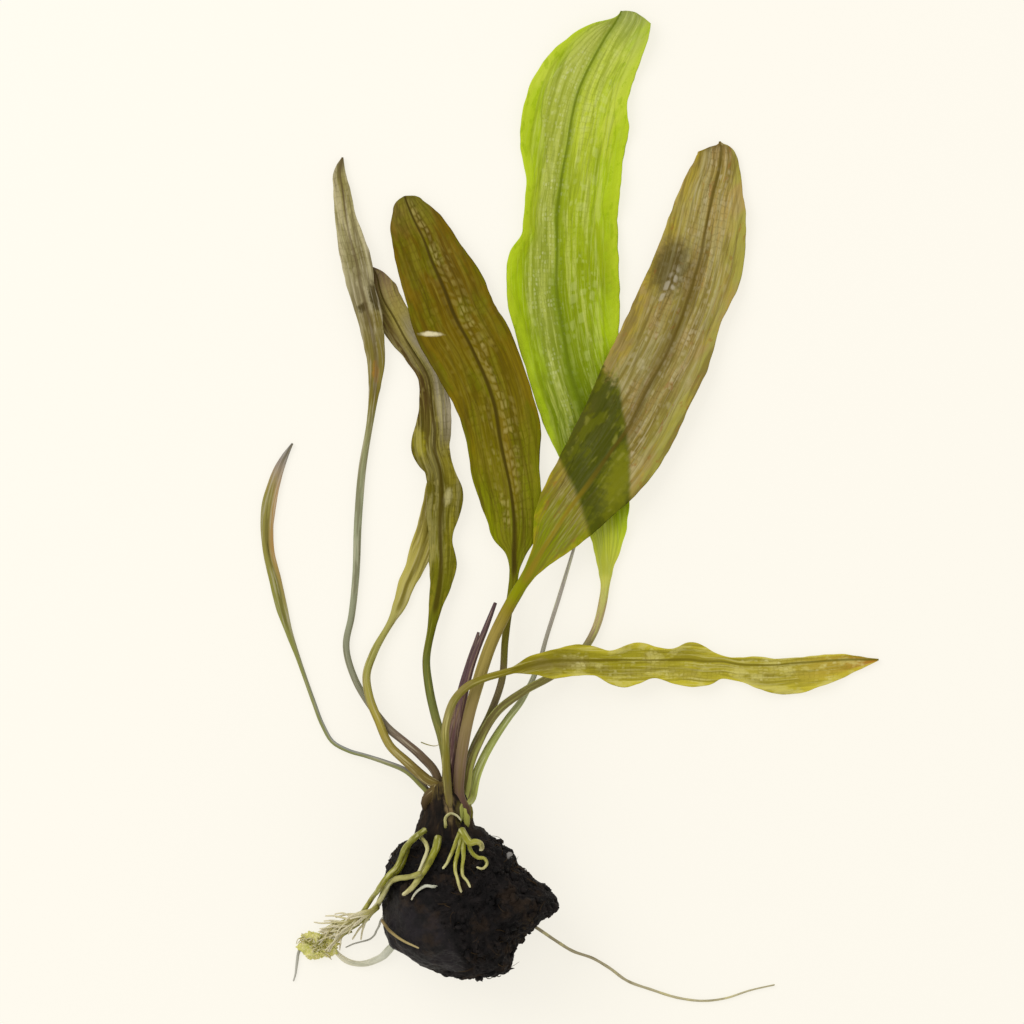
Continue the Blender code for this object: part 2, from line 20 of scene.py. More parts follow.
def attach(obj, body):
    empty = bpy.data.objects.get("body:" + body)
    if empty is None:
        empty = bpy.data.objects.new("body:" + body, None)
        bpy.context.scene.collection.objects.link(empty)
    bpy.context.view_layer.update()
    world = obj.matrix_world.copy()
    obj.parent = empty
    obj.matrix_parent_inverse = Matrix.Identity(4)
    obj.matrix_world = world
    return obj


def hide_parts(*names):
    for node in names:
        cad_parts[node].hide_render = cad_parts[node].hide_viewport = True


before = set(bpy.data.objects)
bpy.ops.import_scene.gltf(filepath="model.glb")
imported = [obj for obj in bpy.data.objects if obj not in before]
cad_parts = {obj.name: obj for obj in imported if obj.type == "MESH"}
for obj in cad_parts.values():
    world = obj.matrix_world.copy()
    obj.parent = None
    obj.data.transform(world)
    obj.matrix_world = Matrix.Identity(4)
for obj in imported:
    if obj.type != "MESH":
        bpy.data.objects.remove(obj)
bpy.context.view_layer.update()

LOG = logging.getLogger("lace_plant")

MM = 0.001
# Points of a seam closer than this are one point, in metres
SEAM = 1e-7
CHART = "chart"

Array = np.ndarray
Point = tuple[float, ...]
Object = bpy.types.Object
Shape = bmesh.types.BMesh
Socket = bpy.types.NodeSocket
Tree = bpy.types.NodeTree


class Trait(Enum):
    """Values that a mesh carries from point to point for its finish."""

    ALONG = "along"
    EDGE = "edge"
    RIGHT = "right"
    MIDRIB = "midrib"
    VEIN = "vein"
    WINDOW = "window"
    # Where the blade lies over another leaf, which its finish darkens as painted shade
    OVERLAP_SHADE = "overlap_shade"
    PRESSED = "pressed"

    def socket(self, tree: Tree) -> Socket:
        """Give the socket that reads this value."""
        return add_node(tree, "ShaderNodeAttribute", {"attribute_name": self.value}).outputs["Fac"]


def linear(code: str) -> tuple[float, float, float, float]:
    """Turn an sRGB hex colour into linear red, green, blue and alpha.

    Args:
        code: the colour, such as #aabbcc.

    Returns:
        Four numbers from 0 to 1.
    """
    parts = [int(code[at:at + 2], 16) / 255 for at in (1, 3, 5)]
    # The curve is the one of the sRGB standard
    curve = [p / 12.92 if p <= 0.04045 else ((p + 0.055) / 1.055) ** 2.4 for p in parts]
    return (*curve, 1.0)


def add_node(
    tree: Tree, kind: str, settings: dict | None = None, sockets: dict | None = None
) -> bpy.types.Node:
    """Add one node with its settings and links.

    Args:
        tree: where it goes.
        kind: its Blender name.
        settings: its own properties.
        sockets: values for its inputs; another node's output is linked.

    Returns:
        The node.
    """
    node = tree.nodes.new(kind)
    for name, value in (settings or {}).items():
        setattr(node, name, value)
    for name, value in (sockets or {}).items():
        if isinstance(value, Socket):
            tree.links.new(value, node.inputs[name])
        else:
            node.inputs[name].default_value = value
    return node


@dataclass(frozen=True)
class Pattern:
    """A pattern that repeats over a surface, its size in millimetres.

    Attributes:
        size: the width of one cloud or cell.
        stretch: how many times as long as wide it is, along the piece.
        charted: whether it follows the piece's own surface.
        seed: moves it elsewhere.
    """

    size: float
    stretch: float = 1.0
    charted: bool = False
    seed: float = 0.0

    # How far the seed moves the pattern along for each step across, and the layer read
    SEED_ALONG = 0.7
    LAYER = 0.3

    def place(self, tree: Tree) -> Socket:
        """Find the pattern's own coordinates.

        Args:
            tree: the material's nodes.

        Returns:
            The socket of the coordinates, 1 to a cloud or cell.
        """
        if self.charted:
            chart = add_node(tree, "ShaderNodeAttribute", {"attribute_name": CHART})
            place, unit = chart.outputs["Vector"], 1.0
        else:
            place, unit = add_node(tree, "ShaderNodeTexCoord").outputs["Object"], 1 / MM
        scale = (unit / self.size, unit / self.size / self.stretch, unit / self.size)
        moved = (self.seed, self.seed * self.SEED_ALONG, self.LAYER)
        return add_node(tree, "ShaderNodeMapping", {}, {
            "Vector": place, "Scale": scale, "Location": moved}).outputs["Vector"]


@dataclass(frozen=True)
class Grain(Pattern):
    """Clouds or streaks, with finer ones on them up to a given detail."""

    detail: float = 3.0

    # How strong each finer layer is, next to the one before it
    ROUGHNESS = 0.6

    def socket(self, tree: Tree) -> Socket:
        """Draw the pattern.

        Args:
            tree: the material's nodes.

        Returns:
            The socket that reads it.
        """
        return add_node(tree, "ShaderNodeTexNoise", {}, {
            "Vector": self.place(tree), "Scale": 1.0, "Detail": self.detail,
            "Roughness": self.ROUGHNESS}).outputs["Fac"]


class CellPart(Enum):
    """What is read of a net of cells: how far off a wall is, or each cell's own lot."""

    WALL = "DISTANCE_TO_EDGE"
    LOT = "F1"


@dataclass(frozen=True)
class Cells(Pattern):
    """A net of small uneven cells, as between the finest veins of a leaf."""

    part: CellPart = CellPart.WALL
    unevenness: float = 0.4

    # How far the net is bent out of line, in cells, how often that turns, and how finely
    BEND = 1.4
    BEND_SCALE = 0.22
    BEND_DETAIL = 2.0

    def socket(self, tree: Tree) -> Socket:
        """Draw the net.

        Args:
            tree: the material's nodes.

        Returns:
            The socket that reads it.
        """
        place = self.place(tree)
        drift = add_node(tree, "ShaderNodeTexNoise", {}, {
            "Vector": place, "Scale": self.BEND_SCALE, "Detail": self.BEND_DETAIL,
        }).outputs["Color"]
        bent = add_node(tree, "ShaderNodeVectorMath", {"operation": "MULTIPLY_ADD"}, {
            0: drift, 1: (self.BEND, self.BEND, 0.0), 2: place}).outputs["Vector"]
        net = add_node(tree, "ShaderNodeTexVoronoi", {
            "voronoi_dimensions": "2D", "feature": self.part.value,
        }, {"Vector": bent, "Scale": 1.0, "Randomness": self.unevenness})
        if self.part is CellPart.WALL:
            return net.outputs["Distance"]
        return add_node(tree, "ShaderNodeSeparateColor", {}, {
            "Color": net.outputs["Color"]}).outputs["Red"]


@dataclass(frozen=True)
class Spot:
    """One blotch, read as 0 in its middle and 1 at its frayed rim.

    Attributes:
        x: its middle, in millimetres.
        y: the same.
        width: across.
        length: along.
        turn: how far its length is turned from Y towards X, in degrees.
        z: the height of its middle.
        depth: how far it reaches in height, as good as endless unless given.
    """

    x: float
    y: float
    width: float
    length: float
    turn: float = 0.0
    z: float = 0.0
    depth: float = 2000.0

    # How far the rim is frayed, in half widths, and the size of the tatters in mm
    FRAY = 0.9
    FRAY_SIZE = 1.6

    def socket(self, tree: Tree) -> Socket:
        """Draw the blotch.

        Args:
            tree: the material's nodes.

        Returns:
            The socket that reads it.
        """
        place = add_node(tree, "ShaderNodeTexCoord").outputs["Object"]
        local = add_node(tree, "ShaderNodeMapping", {"vector_type": "TEXTURE"}, {
            "Vector": place, "Location": (self.x * MM, self.y * MM, self.z * MM),
            "Rotation": (0.0, 0.0, -math.radians(self.turn)),
            "Scale": (self.width * MM / 2, self.length * MM / 2, self.depth * MM / 2),
        }).outputs["Vector"]
        away = add_node(tree, "ShaderNodeVectorMath", {"operation": "LENGTH"}, {0: local})
        fray = Grain(self.FRAY_SIZE, seed=self.x).socket(tree)
        return add_node(tree, "ShaderNodeMath", {"operation": "MULTIPLY_ADD"}, {
            0: fray, 1: self.FRAY, 2: away.outputs["Value"]}).outputs["Value"]


@dataclass(frozen=True)
class Mask:
    """Where a coat of colour lies: from none at start to all at full."""

    by: Trait | Pattern | Spot
    start: float
    full: float

    def socket(self, tree: Tree) -> Socket:
        """Draw the mask.

        Args:
            tree: the material's nodes.

        Returns:
            The socket that reads it.
        """
        return add_node(tree, "ShaderNodeMapRange", {"interpolation_type": "SMOOTHSTEP"}, {
            "Value": self.by.socket(tree), "From Min": self.start, "From Max": self.full,
        }).outputs["Result"]


@dataclass(frozen=True)
class Coat:
    """A coat of one colour over what lies below it."""

    colour: str
    strength: float
    masks: tuple[Mask, ...]

    def over(self, tree: Tree, ground: Socket) -> Socket:
        """Lay the coat over a colour.

        Args:
            tree: the material's nodes.
            ground: the colour below.

        Returns:
            The socket of the new colour.
        """
        share = self.strength
        for mask in self.masks:
            share = add_node(tree, "ShaderNodeMath", {"operation": "MULTIPLY"}, {
                0: mask.socket(tree), 1: share}).outputs["Value"]
        return add_node(tree, "ShaderNodeMix", {"data_type": "RGBA"}, {
            0: share, 6: ground, 7: linear(self.colour)}).outputs[2]


# What a mask follows, and the readings where it starts and where it is full
Where = tuple[Trait | Pattern | Spot, float, float]


def coat(colour: str, strength: float, *where: Where) -> Coat:
    """Describe a coat by its colour, its strength and where it lies."""
    return Coat(colour, strength, tuple(Mask(*place) for place in where))


@dataclass(frozen=True)
class Finish:
    """A living or earthy surface, built up in coats.

    Attributes:
        name: the material's name.
        stops: colours along the piece, from 0 at its base to 1 at its tip.
        coats: what lies over them.
        by: what the colours follow.
        roughness: of the bare surface.
        gloss: how strongly it mirrors light.
        lit_through: the share of the light that comes through from behind.
        bump: the finest relief, with its height in millimetres.
        polish: where the surface is smoother, and how rough it is there.
    """

    name: str
    stops: tuple[tuple[float, str], ...]
    coats: tuple[Coat, ...] = ()
    by: Trait | Pattern = Trait.ALONG
    roughness: float = 0.5
    gloss: float = 0.06
    lit_through: float = 0.0
    bump: tuple[Grain, float] | None = None
    polish: tuple[Mask, float] | None = None

    def material(self) -> bpy.types.Material:
        """Make the material.

        Returns:
            The new material.
        """
        material = bpy.data.materials.new(self.name)
        material.use_nodes = True
        tree = material.node_tree
        tree.nodes.clear()
        ramp = add_node(tree, "ShaderNodeValToRGB", {}, {"Fac": self.by.socket(tree)})
        elements = ramp.color_ramp.elements
        elements.remove(elements[1])
        elements[0].position = self.stops[0][0]
        elements[0].color = linear(self.stops[0][1])
        for place, code in self.stops[1:]:
            elements.new(place).color = linear(code)
        colour = ramp.outputs["Color"]
        for layer in self.coats:
            colour = layer.over(tree, colour)
        shader = add_node(tree, "ShaderNodeBsdfPrincipled", {}, {
            "Base Color": colour, "Roughness": self.roughness,
            "Specular IOR Level": self.gloss})
        if self.polish:
            mask, smooth = self.polish
            rough = add_node(tree, "ShaderNodeMapRange", {}, {
                "Value": mask.socket(tree), "To Min": self.roughness, "To Max": smooth})
            tree.links.new(rough.outputs["Result"], shader.inputs["Roughness"])
        surface = shader.outputs["BSDF"]
        if self.bump:
            grain, height = self.bump
            relief = add_node(tree, "ShaderNodeBump", {}, {
                "Strength": 1.0, "Distance": height * MM, "Height": grain.socket(tree)})
            tree.links.new(relief.outputs["Normal"], shader.inputs["Normal"])
        if self.lit_through:
            through = add_node(tree, "ShaderNodeBsdfTranslucent", {}, {"Color": colour})
            surface = add_node(tree, "ShaderNodeMixShader", {}, {
                0: self.lit_through, 1: surface, 2: through.outputs["BSDF"]}).outputs["Shader"]
        add_node(tree, "ShaderNodeOutputMaterial", {}, {"Surface": surface})
        return material


@dataclass(frozen=True)
class Route:
    """A smooth curve through rows of numbers, the first three of each a place."""

    rows: tuple[Point, ...]

    def knots(self) -> Array:
        """Measure how far along the route each row is.

        Returns:
            A distance from the first row for each.
        """
        places = np.array(self.rows, dtype=float)[:, :3]
        legs = np.linalg.norm(np.diff(places, axis=0), axis=1)
        return np.concatenate(([0.0], np.cumsum(legs)))

    def read(self, places: Array) -> Array:
        """Read the curve.

        Args:
            places: distances along it.

        Returns:
            One row of numbers for each distance.
        """
        rows = np.array(self.rows, dtype=float)
        knots = self.knots()
        slopes = np.gradient(rows, knots, axis=0)
        low = np.clip(np.searchsorted(knots, places, side="right") - 1, 0, len(knots) - 2)
        span = (knots[low + 1] - knots[low])[:, None]
        t = (places - knots[low])[:, None] / span
        start = (1 + 2 * t) * (1 - t) ** 2 * rows[low] + t * (1 - t) ** 2 * span * slopes[low]
        end = t * t * (3 - 2 * t) * rows[low + 1] + t * t * (t - 1) * span * slopes[low + 1]
        return start + end


def side_and_up(centres: Array) -> tuple[Array, Array]:
    """Find the directions across a route.

    Args:
        centres: the points of the route.

    Returns:
        Unit vectors to its right and to its upper side, one for each point.
    """
    forward = np.gradient(centres, axis=0)
    forward /= np.linalg.norm(forward, axis=1, keepdims=True)
    side = np.cross(forward, (0.0, 0.0, 1.0))
    side /= np.linalg.norm(side, axis=1, keepdims=True)
    return side, np.cross(side, forward)


def spokes(centres: Array, sides: int) -> tuple[Array, Array]:
    """Find the directions out of a round route.

    Args:
        centres: the points of the route.
        sides: corners of a ring.

    Returns:
        The angle of each corner, and unit vectors outwards by ring and by corner.
    """
    side, up = side_and_up(centres)
    turn = np.arange(sides) * 2 * math.pi / sides
    return turn, side[:, None] * np.cos(turn)[None, :, None] \
        + up[:, None] * np.sin(turn)[None, :, None]


def charted(across: Array, place: Array) -> Array:
    """Chart a surface by the distances across it, by ring and by corner, and along it."""
    along = place[:, None] * np.ones_like(across)
    return np.stack((across, along, 0 * along), axis=2)


def rolled(bm: Shape, rings: Array, traits: dict[str, Array]) -> None:
    """Roll a grid into a closed tube through rings of points.

    Args:
        bm: where the tube goes.
        rings: places in millimetres, by ring and by corner.
        traits: numbers or vectors for the finish, by ring and by corner.
    """
    lengths, around = rings.shape[:2]
    stores = {
        name: bm.verts.layers.float_vector if values.ndim == 3 else bm.verts.layers.float
        for name, values in traits.items()}
    for name, store in stores.items():
        if name not in store:
            store.new(name)
    layers = {name: store[name] for name, store in stores.items()}
    grid = bmesh.ops.create_grid(bm, x_segments=around, y_segments=lengths - 1, size=1.0)["verts"]
    seam = []
    for vert in grid:
        corner = round((vert.co.x + 1) / 2 * around)
        ring = round((vert.co.y + 1) / 2 * (lengths - 1))
        if corner in (0, around):
            seam.append(vert)
        corner %= around
        vert.co = Vector(rings[ring, corner]) * MM
        for name, layer in layers.items():
            vert[layer] = traits[name][ring, corner]
    bmesh.ops.remove_doubles(bm, verts=seam, dist=SEAM)
    left = [vert for vert in grid if vert.is_valid]
    ends = {edge for vert in left for edge in vert.link_edges if edge.is_boundary}
    bmesh.ops.holes_fill(bm, edges=list(ends), sides=around)


def placed(name: str, data: bpy.types.ID) -> Object:
    """Put a mesh, a light or a camera into the scene.

    Args:
        name: the name of the new object.
        data: what it shows.

    Returns:
        The new object.
    """
    made = bpy.data.objects.new(name, data)
    bpy.context.scene.collection.objects.link(made)
    return made


@dataclass
class Piece:
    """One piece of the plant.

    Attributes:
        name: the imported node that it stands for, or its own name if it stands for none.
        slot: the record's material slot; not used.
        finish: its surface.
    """

    name: str
    slot: str
    finish: Finish

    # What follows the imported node's name, for a piece that stands for one
    ENDING = ""

    def dress(self, bm: Shape) -> Object:
        """Turn a shape into the finished piece, which rides on the plant.

        Args:
            bm: the piece's shape.

        Returns:
            The new object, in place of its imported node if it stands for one.
        """
        bmesh.ops.recalc_face_normals(bm, faces=bm.faces)
        name = self.name + self.ENDING
        mesh = bpy.data.meshes.new(name)
        bm.to_mesh(mesh)
        bm.free()
        mesh.shade_smooth()
        mesh.materials.append(self.finish.material())
        piece = placed(name, mesh)
        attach(piece, "root")
        if self.ENDING:
            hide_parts(self.name)
        return piece


def surface_of(piece: Object) -> BVHTree:
    """Make a searchable copy of a piece's surface."""
    corners = [vert.co.copy() for vert in piece.data.vertices]
    return BVHTree.FromPolygons(corners, [face.vertices[:] for face in piece.data.polygons])


@dataclass(frozen=True)
class Venation:
    """The net of veins that gives a lace leaf its windows.

    Attributes:
        veins: veins that run along each half of the blade.
        cell: shortest and longest window, in millimetres.
        pale: share of the windows that are pale.
        depth: how far a window swells above its veins, in millimetres.
        seed: starts the random draws.
    """

    veins: int
    cell: tuple[float, float] = (2.0, 3.8)
    pale: float = 0.4
    depth: float = 0.2
    seed: int = 1

    # Where the rows of points lie between two veins, and how wide a vein is in mm
    BETWEEN = (0.0, 0.12, 0.3, 0.5, 0.7, 0.88)
    VEIN_WIDTH = 0.28
    # How wide the slope at the rim of a window is, in mm
    WALL = 0.55
    # The gap outside the last vein, in gaps, and how slightly gaps narrow outwards
    MARGIN_GAP = 0.6
    NARROWING = 0.97
    # How far a vein strays, in gaps between veins, over what length in mm, and how much
    # each vein goes its own way
    SWAY = 0.9
    SWAY_LENGTH = 13.0
    SWAY_ACROSS = 0.8
    # How far before the leaf the cross veins start and how far beyond it they end, in mm
    LEAD = 10
    # The least and the most that a window swells and that the cross veins slant, and how
    # strong a cross vein is next to a long one
    LIFT = (0.5, 1.0)
    SLANT = (-0.5, 0.9)
    BAR = 0.5
    # How many more windows are pale at the midrib, how many fewer towards the margin, and
    # how few are neither pale nor dark
    PALE_MIDRIB = 1.35
    PALE_FALL = 0.9
    PALE_CONTRAST = 4

    def rails(self) -> Array:
        """Place the midrib, the veins and the margin.

        Returns:
            Their places across one half of the blade, from 0 to 1.
        """
        steps = range(self.veins + 1)
        inner = [(k / (self.veins + self.MARGIN_GAP)) ** self.NARROWING for k in steps]
        return np.array([*inner, 1.0])

    def bend(self, share: Array, place: Array) -> Array:
        """Move the rows of points sideways, so that no vein runs quite straight.

        Args:
            share: each corner's place across the blade.
            place: each ring's distance along the leaf.

        Returns:
            The new places across, by ring and by corner.
        """
        room = self.SWAY / (self.veins + 1) * np.sin(np.pi * np.minimum(1, np.abs(share))) ** 0.5
        sway = np.array([
            [noise.noise((p / self.SWAY_LENGTH, s * self.veins * self.SWAY_ACROSS, self.seed))
             for s in share] for p in place])
        return share + room * sway

    def columns(self) -> Array:
        """Place the rows of points across the blade.

        Returns:
            Their places from the right margin, 1, to the left one, -1.
        """
        rails = self.rails()
        right = [
            low + (high - low) * part
            for low, high in zip(rails[:-1], rails[1:]) for part in self.BETWEEN
        ]
        right = np.array([*right, 1.0])
        return np.concatenate((right[::-1], -right[1:]))

    def read(self, share: Array, place: Array, reach: Array) -> tuple[Array, Array, Array]:
        """Work out the net.

        Args:
            share: each corner's place across the blade.
            place: each ring's distance along the leaf.
            reach: the half width of the blade, by ring and by corner.

        Returns:
            How much each point is on a vein and in a pale window, and how far it swells.
        """
        draw = np.random.default_rng(self.seed)
        rails = self.rails()
        vein, window, swell = np.zeros((3, *reach.shape))
        low, high = self.cell
        for side in (-1, 1):
            for k, (near, far) in enumerate(zip(rails[:-1], rails[1:])):
                count = int((place[-1] + 2 * self.LEAD) / low)
                bars = np.cumsum(draw.uniform(low, high, count)) - self.LEAD
                luck = draw.random(count + 1)
                lift = draw.uniform(*self.LIFT, count + 1)
                slant = draw.uniform(*self.SLANT)
                inside = (share * side >= near) & (share * side <= far)
                part = (np.abs(share[inside]) - near) / (far - near)
                width = reach[:, inside] * (far - near)
                shifted = place[:, None] + slant * part * width
                cell = np.clip(np.searchsorted(bars, shifted), 1, count - 1)
                to_bar = np.minimum(shifted - bars[cell - 1], bars[cell] - shifted)
                to_vein = np.minimum(part, 1 - part) * width
                line = np.exp(-(to_vein / self.VEIN_WIDTH) ** 2)
                bar = self.BAR * lift[cell] * np.exp(-(to_bar / self.VEIN_WIDTH) ** 2)
                open_ = (1 - np.exp(-(to_vein / self.WALL) ** 2)) * (
                    1 - np.exp(-(to_bar / self.WALL) ** 2))
                chance = self.pale * (self.PALE_MIDRIB - self.PALE_FALL * k / len(rails))
                vein[:, inside] = np.maximum(line, bar)
                bright = (chance - luck[cell]) * self.PALE_CONTRAST + 0.5
                window[:, inside] = open_ * np.clip(bright, 0, 1)
                swell[:, inside] = open_ * lift[cell] * self.depth
        return vein, window, swell


@dataclass
class LaceLeaf(Piece):
    """A leaf: a round stalk that widens into a thin blade with a net of veins.

    Attributes:
        stalk: points (x, y, z, radius) from the tuber up.
        blade: points (x, y, z, left, right) from the stalk to the tip, the last two
            the reach on each side of the midrib.
        net: its veins.
        ruffle: how high the waves of the margin are.
        wave: how long they are.
        cup: how far the margin is raised.
        frill: how far the outline of the margin wanders.
        over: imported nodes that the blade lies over.
        bow: how far a blunt tip bulges beyond its midrib.
        hold: how far the base of the stalk runs down the neck of the tuber.
        lean: how far that base turns towards the top of the neck, from 0 to 1.
    """

    stalk: tuple[Point, ...]
    blade: tuple[Point, ...] = ()
    net: Venation = Venation(1)
    ruffle: float = 0.0
    wave: float = 20.0
    cup: float = 0.0
    frill: float = 0.2
    # over: imported nodes that the blade lies over, where it gets painted shade.
    over: tuple[str, ...] = ()
    bow: float = 0.0
    hold: float = 3.0
    lean: float = 0.0

    ENDING = "_lace"
    # The blade's thickness, the midrib's radius at the tip and the least half width, in mm
    SHEET = 0.42
    TIP_RIB = 0.5
    THINNEST = 0.2
    # The distance between rings on the stalk, the blade and the foot, in mm
    STALK_STEP = 1.2
    BLADE_STEP = 0.45
    HOLD_STEP = 1.6
    # How far the foot stands out of the neck, and how far its end sinks in, in its radii;
    # over what length it comes to the neck, in mm; and how much it thins
    FOOT_OUT = 0.25
    FOOT_SINK = 1.1
    FOOT_REACH = 3
    FOOT_THINNING = 0.45
    # The length of one curl of the frill in mm, and how unlike the two margins are
    FRILL_LENGTH = 3.1
    FRILL_APART = 5.3
    # Where the waves of the right and of the left margin start, as angles
    WAVE_START = (1.3, 3.6)
    # How far each half of the blade bulges, in mm
    PILLOW = 0.22
    # The half width at which the waves, the bulge and the blunt tip are whole, in mm
    WAVE_ROOM = 4
    PILLOW_ROOM = 6
    BOW_ROOM = 5
    # How much of the blade the blunt tip takes, in mm
    BOW_LENGTH = 4
    # The midrib's width, its height above and below the sheet, and the width of its
    # colour, in its radii; and how much thicker the sheet is at a vein
    RIB_WIDTH = 1.05
    RIB_TOP = 0.42
    RIB_UNDER = 0.85
    RIB_COLOUR = 0.9
    VEIN_RELIEF = 0.35
    # How far the painted shade over a lower leaf is softened, in rings and in corners
    RIM = (3, 1)

    def base(self, neck: "TuberNeck") -> list[Point]:
        """Run the foot of the stalk down the outside of the neck.

        Args:
            neck: the neck of the tuber.

        Returns:
            Points (x, y, z, radius), the lowest first.
        """
        x, y, z, radius = self.stalk[0]
        points = []
        for step in range(1, round(self.hold / self.HOLD_STEP) + 1):
            down = step * self.HOLD_STEP
            middle, thick = neck.at(y - down)
            out = Vector((x - middle.x, 0, z - middle.z))
            out = out.normalized().lerp(Vector((0, 0, 1)), self.lean).normalized()
            end = down / self.hold
            proud = (self.FOOT_OUT - self.FOOT_SINK * end ** 4) * radius
            spot = middle + out * (thick + proud)
            share = min(1, down / self.FOOT_REACH)
            spot = Vector((x, y - down, z)).lerp(spot, share)
            points.append((*spot, radius * (1 - self.FOOT_THINNING * end ** 3)))
        return points[::-1]

    def rows(self, neck: "TuberNeck") -> tuple[Point, ...]:
        """List the leaf's cross sections.

        Args:
            neck: the neck of the tuber.

        Returns:
            Rows (x, y, z, left, right, rib, flatness), the round stalk first.
        """
        stalk = [*self.base(neck), *self.stalk]
        rows = [(x, y, z, radius, radius, radius, 0.0) for x, y, z, radius in stalk]
        thick = self.stalk[-1][3]
        for index, (x, y, z, left, right) in enumerate(self.blade):
            share = index / (len(self.blade) - 1)
            rib = thick + (self.TIP_RIB - thick) * share ** 0.5
            rows.append((x, y, z, left, right, rib, 1.0))
        return tuple(rows)

    def places(self, collar: float, length: float) -> Array:
        """Choose where the rings lie.

        Args:
            collar: where the stalk ends and the blade begins.
            length: the length of the leaf.

        Returns:
            Distances along the leaf, wide apart on the stalk and close on the blade.
        """
        lower = np.linspace(0, collar, max(2, round(collar / self.STALK_STEP)) + 1)
        if not self.blade:
            return lower
        upper = round((length - collar) / self.BLADE_STEP) + 1
        return np.concatenate((lower[:-1], np.linspace(collar, length, upper)))

    def build(self, neck: "TuberNeck") -> Object:
        """Make the leaf.

        Args:
            neck: what the stalk grows from.

        Returns:
            The new object.
        """
        route = Route(self.rows(neck))
        knots = route.knots()
        first = len(knots) - len(self.stalk) - len(self.blade)
        collar = knots[first + len(self.stalk) - 1]
        place = self.places(collar, knots[-1])
        rows = route.read(place)
        centres = rows[:, :3]
        side, up = side_and_up(centres)
        top = self.net.columns()
        share = np.concatenate((top, top[-2:0:-1]))
        face = np.concatenate((np.ones(len(top)), -np.ones(len(top) - 2)))
        left, right = np.maximum(rows[:, 3:5], self.THINNEST).T
        rib = np.maximum(rows[:, 5], self.THINNEST)[:, None]
        flat = np.clip(rows[:, 6], 0, 1)[:, None]
        reach = np.where(share > 0, right[:, None], left[:, None])
        vein, window, swell = self.net.read(share, place, reach)
        across = np.abs(share) * reach
        bent = self.net.bend(share, place)

        wander = np.array([
            [noise.noise((p / self.FRILL_LENGTH, s * self.FRILL_APART, self.net.seed))
             for s in (-1, 1)] for p in place])
        outline = np.where(share > 0, wander[:, 1:], wander[:, :1]) * self.frill
        offset = bent * reach + np.sign(share) * outline * share ** 6 * flat
        phase = np.where(share > 0, *self.WAVE_START)
        edge = np.sin(2 * math.pi * (place[:, None] - knots[first]) / self.wave + phase)
        lift = flat * share ** 2 * (self.cup + self.ruffle * (1 + edge) / 2)
        lift = lift * np.minimum(1, reach / self.WAVE_ROOM)
        pillow = flat * self.PILLOW * np.sin(np.pi * np.minimum(1, np.abs(share)))
        lift = lift + flat * swell + pillow * np.minimum(1, reach / self.PILLOW_ROOM)
        height = np.where(face > 0, self.RIB_TOP, self.RIB_UNDER)
        rod = np.exp(-(across / (self.RIB_WIDTH * rib)) ** 2) * rib * height
        sheet = self.SHEET / 2 * np.sqrt(np.maximum(0, 1 - np.abs(share) ** 8))
        sheet = sheet * (1 + self.VEIN_RELIEF * vein)
        round_ = np.sqrt(np.maximum(0, 1 - share ** 2)) * rib
        thick = round_ * (1 - flat) + (sheet + rod) * flat
        blunt = np.clip(1 - (knots[-1] - place) / self.BOW_LENGTH, 0, 1)[:, None]
        ahead = self.bow * blunt * np.sin(np.pi * np.abs(share)) \
            * np.minimum(1, reach / self.BOW_ROOM)
        rings = (
            centres[:, None] + side[:, None] * offset[..., None]
            + np.cross(up, side)[:, None] * ahead[..., None]
            + up[:, None] * (lift + face * thick)[..., None])

        beyond = (place - collar) / max(1e-6, knots[-1] - collar)
        along = np.where(place < collar, place / collar, 1 + beyond) / 2
        ones = np.ones_like(reach)
        traits = {
            Trait.ALONG.value: along[:, None] * ones,
            Trait.EDGE.value: np.abs(share) * flat,
            Trait.RIGHT.value: (share * 0.5 + 0.5) * ones,
            Trait.MIDRIB.value: np.exp(-(across / (self.RIB_COLOUR * rib)) ** 2) * flat,
            Trait.VEIN.value: vein * flat,
            Trait.WINDOW.value: window * flat,
            # Painted shade where the blade lies over another leaf
            Trait.OVERLAP_SHADE.value: self.overlap_shade(rings, flat, len(top)),
            CHART: charted(bent * reach, place),
        }
        bm = bmesh.new()
        rolled(bm, rings, traits)
        return self.dress(bm)

    def overlap_shade(self, rings: Array, flat: Array, top: int) -> Array:
        """Find where another leaf lies right below the blade, for the painted shade there.

        Args:
            rings: the leaf's points.
            flat: how flat each ring is.
            top: the number of corners on the upper side of a ring.

        Returns:
            By ring and by corner, 1 where one lies below, 0 elsewhere, between at the rim.
        """
        found = np.zeros((len(rings), top))
        trees = [surface_of(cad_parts[node]) for node in self.over]
        down = Vector((0, 0, -1))
        for ring, corner in np.ndindex(found.shape):
            if trees and flat[ring, 0] >= 0.5:
                start = Vector(rings[ring, corner]) * MM
                found[ring, corner] = any(tree.ray_cast(start, down)[0] for tree in trees)
        for axis, reach in enumerate(self.RIM):
            pads = [(reach, reach) if axis == way else (0, 0) for way in (0, 1)]
            far = np.pad(found, pads, "edge")
            steps = range(2 * reach + 1)
            count = found.shape[axis]
            found = np.mean([np.take(far, range(k, k + count), axis) for k in steps], axis=0)
        return np.concatenate((found, found[:, -2:0:-1]), axis=1)


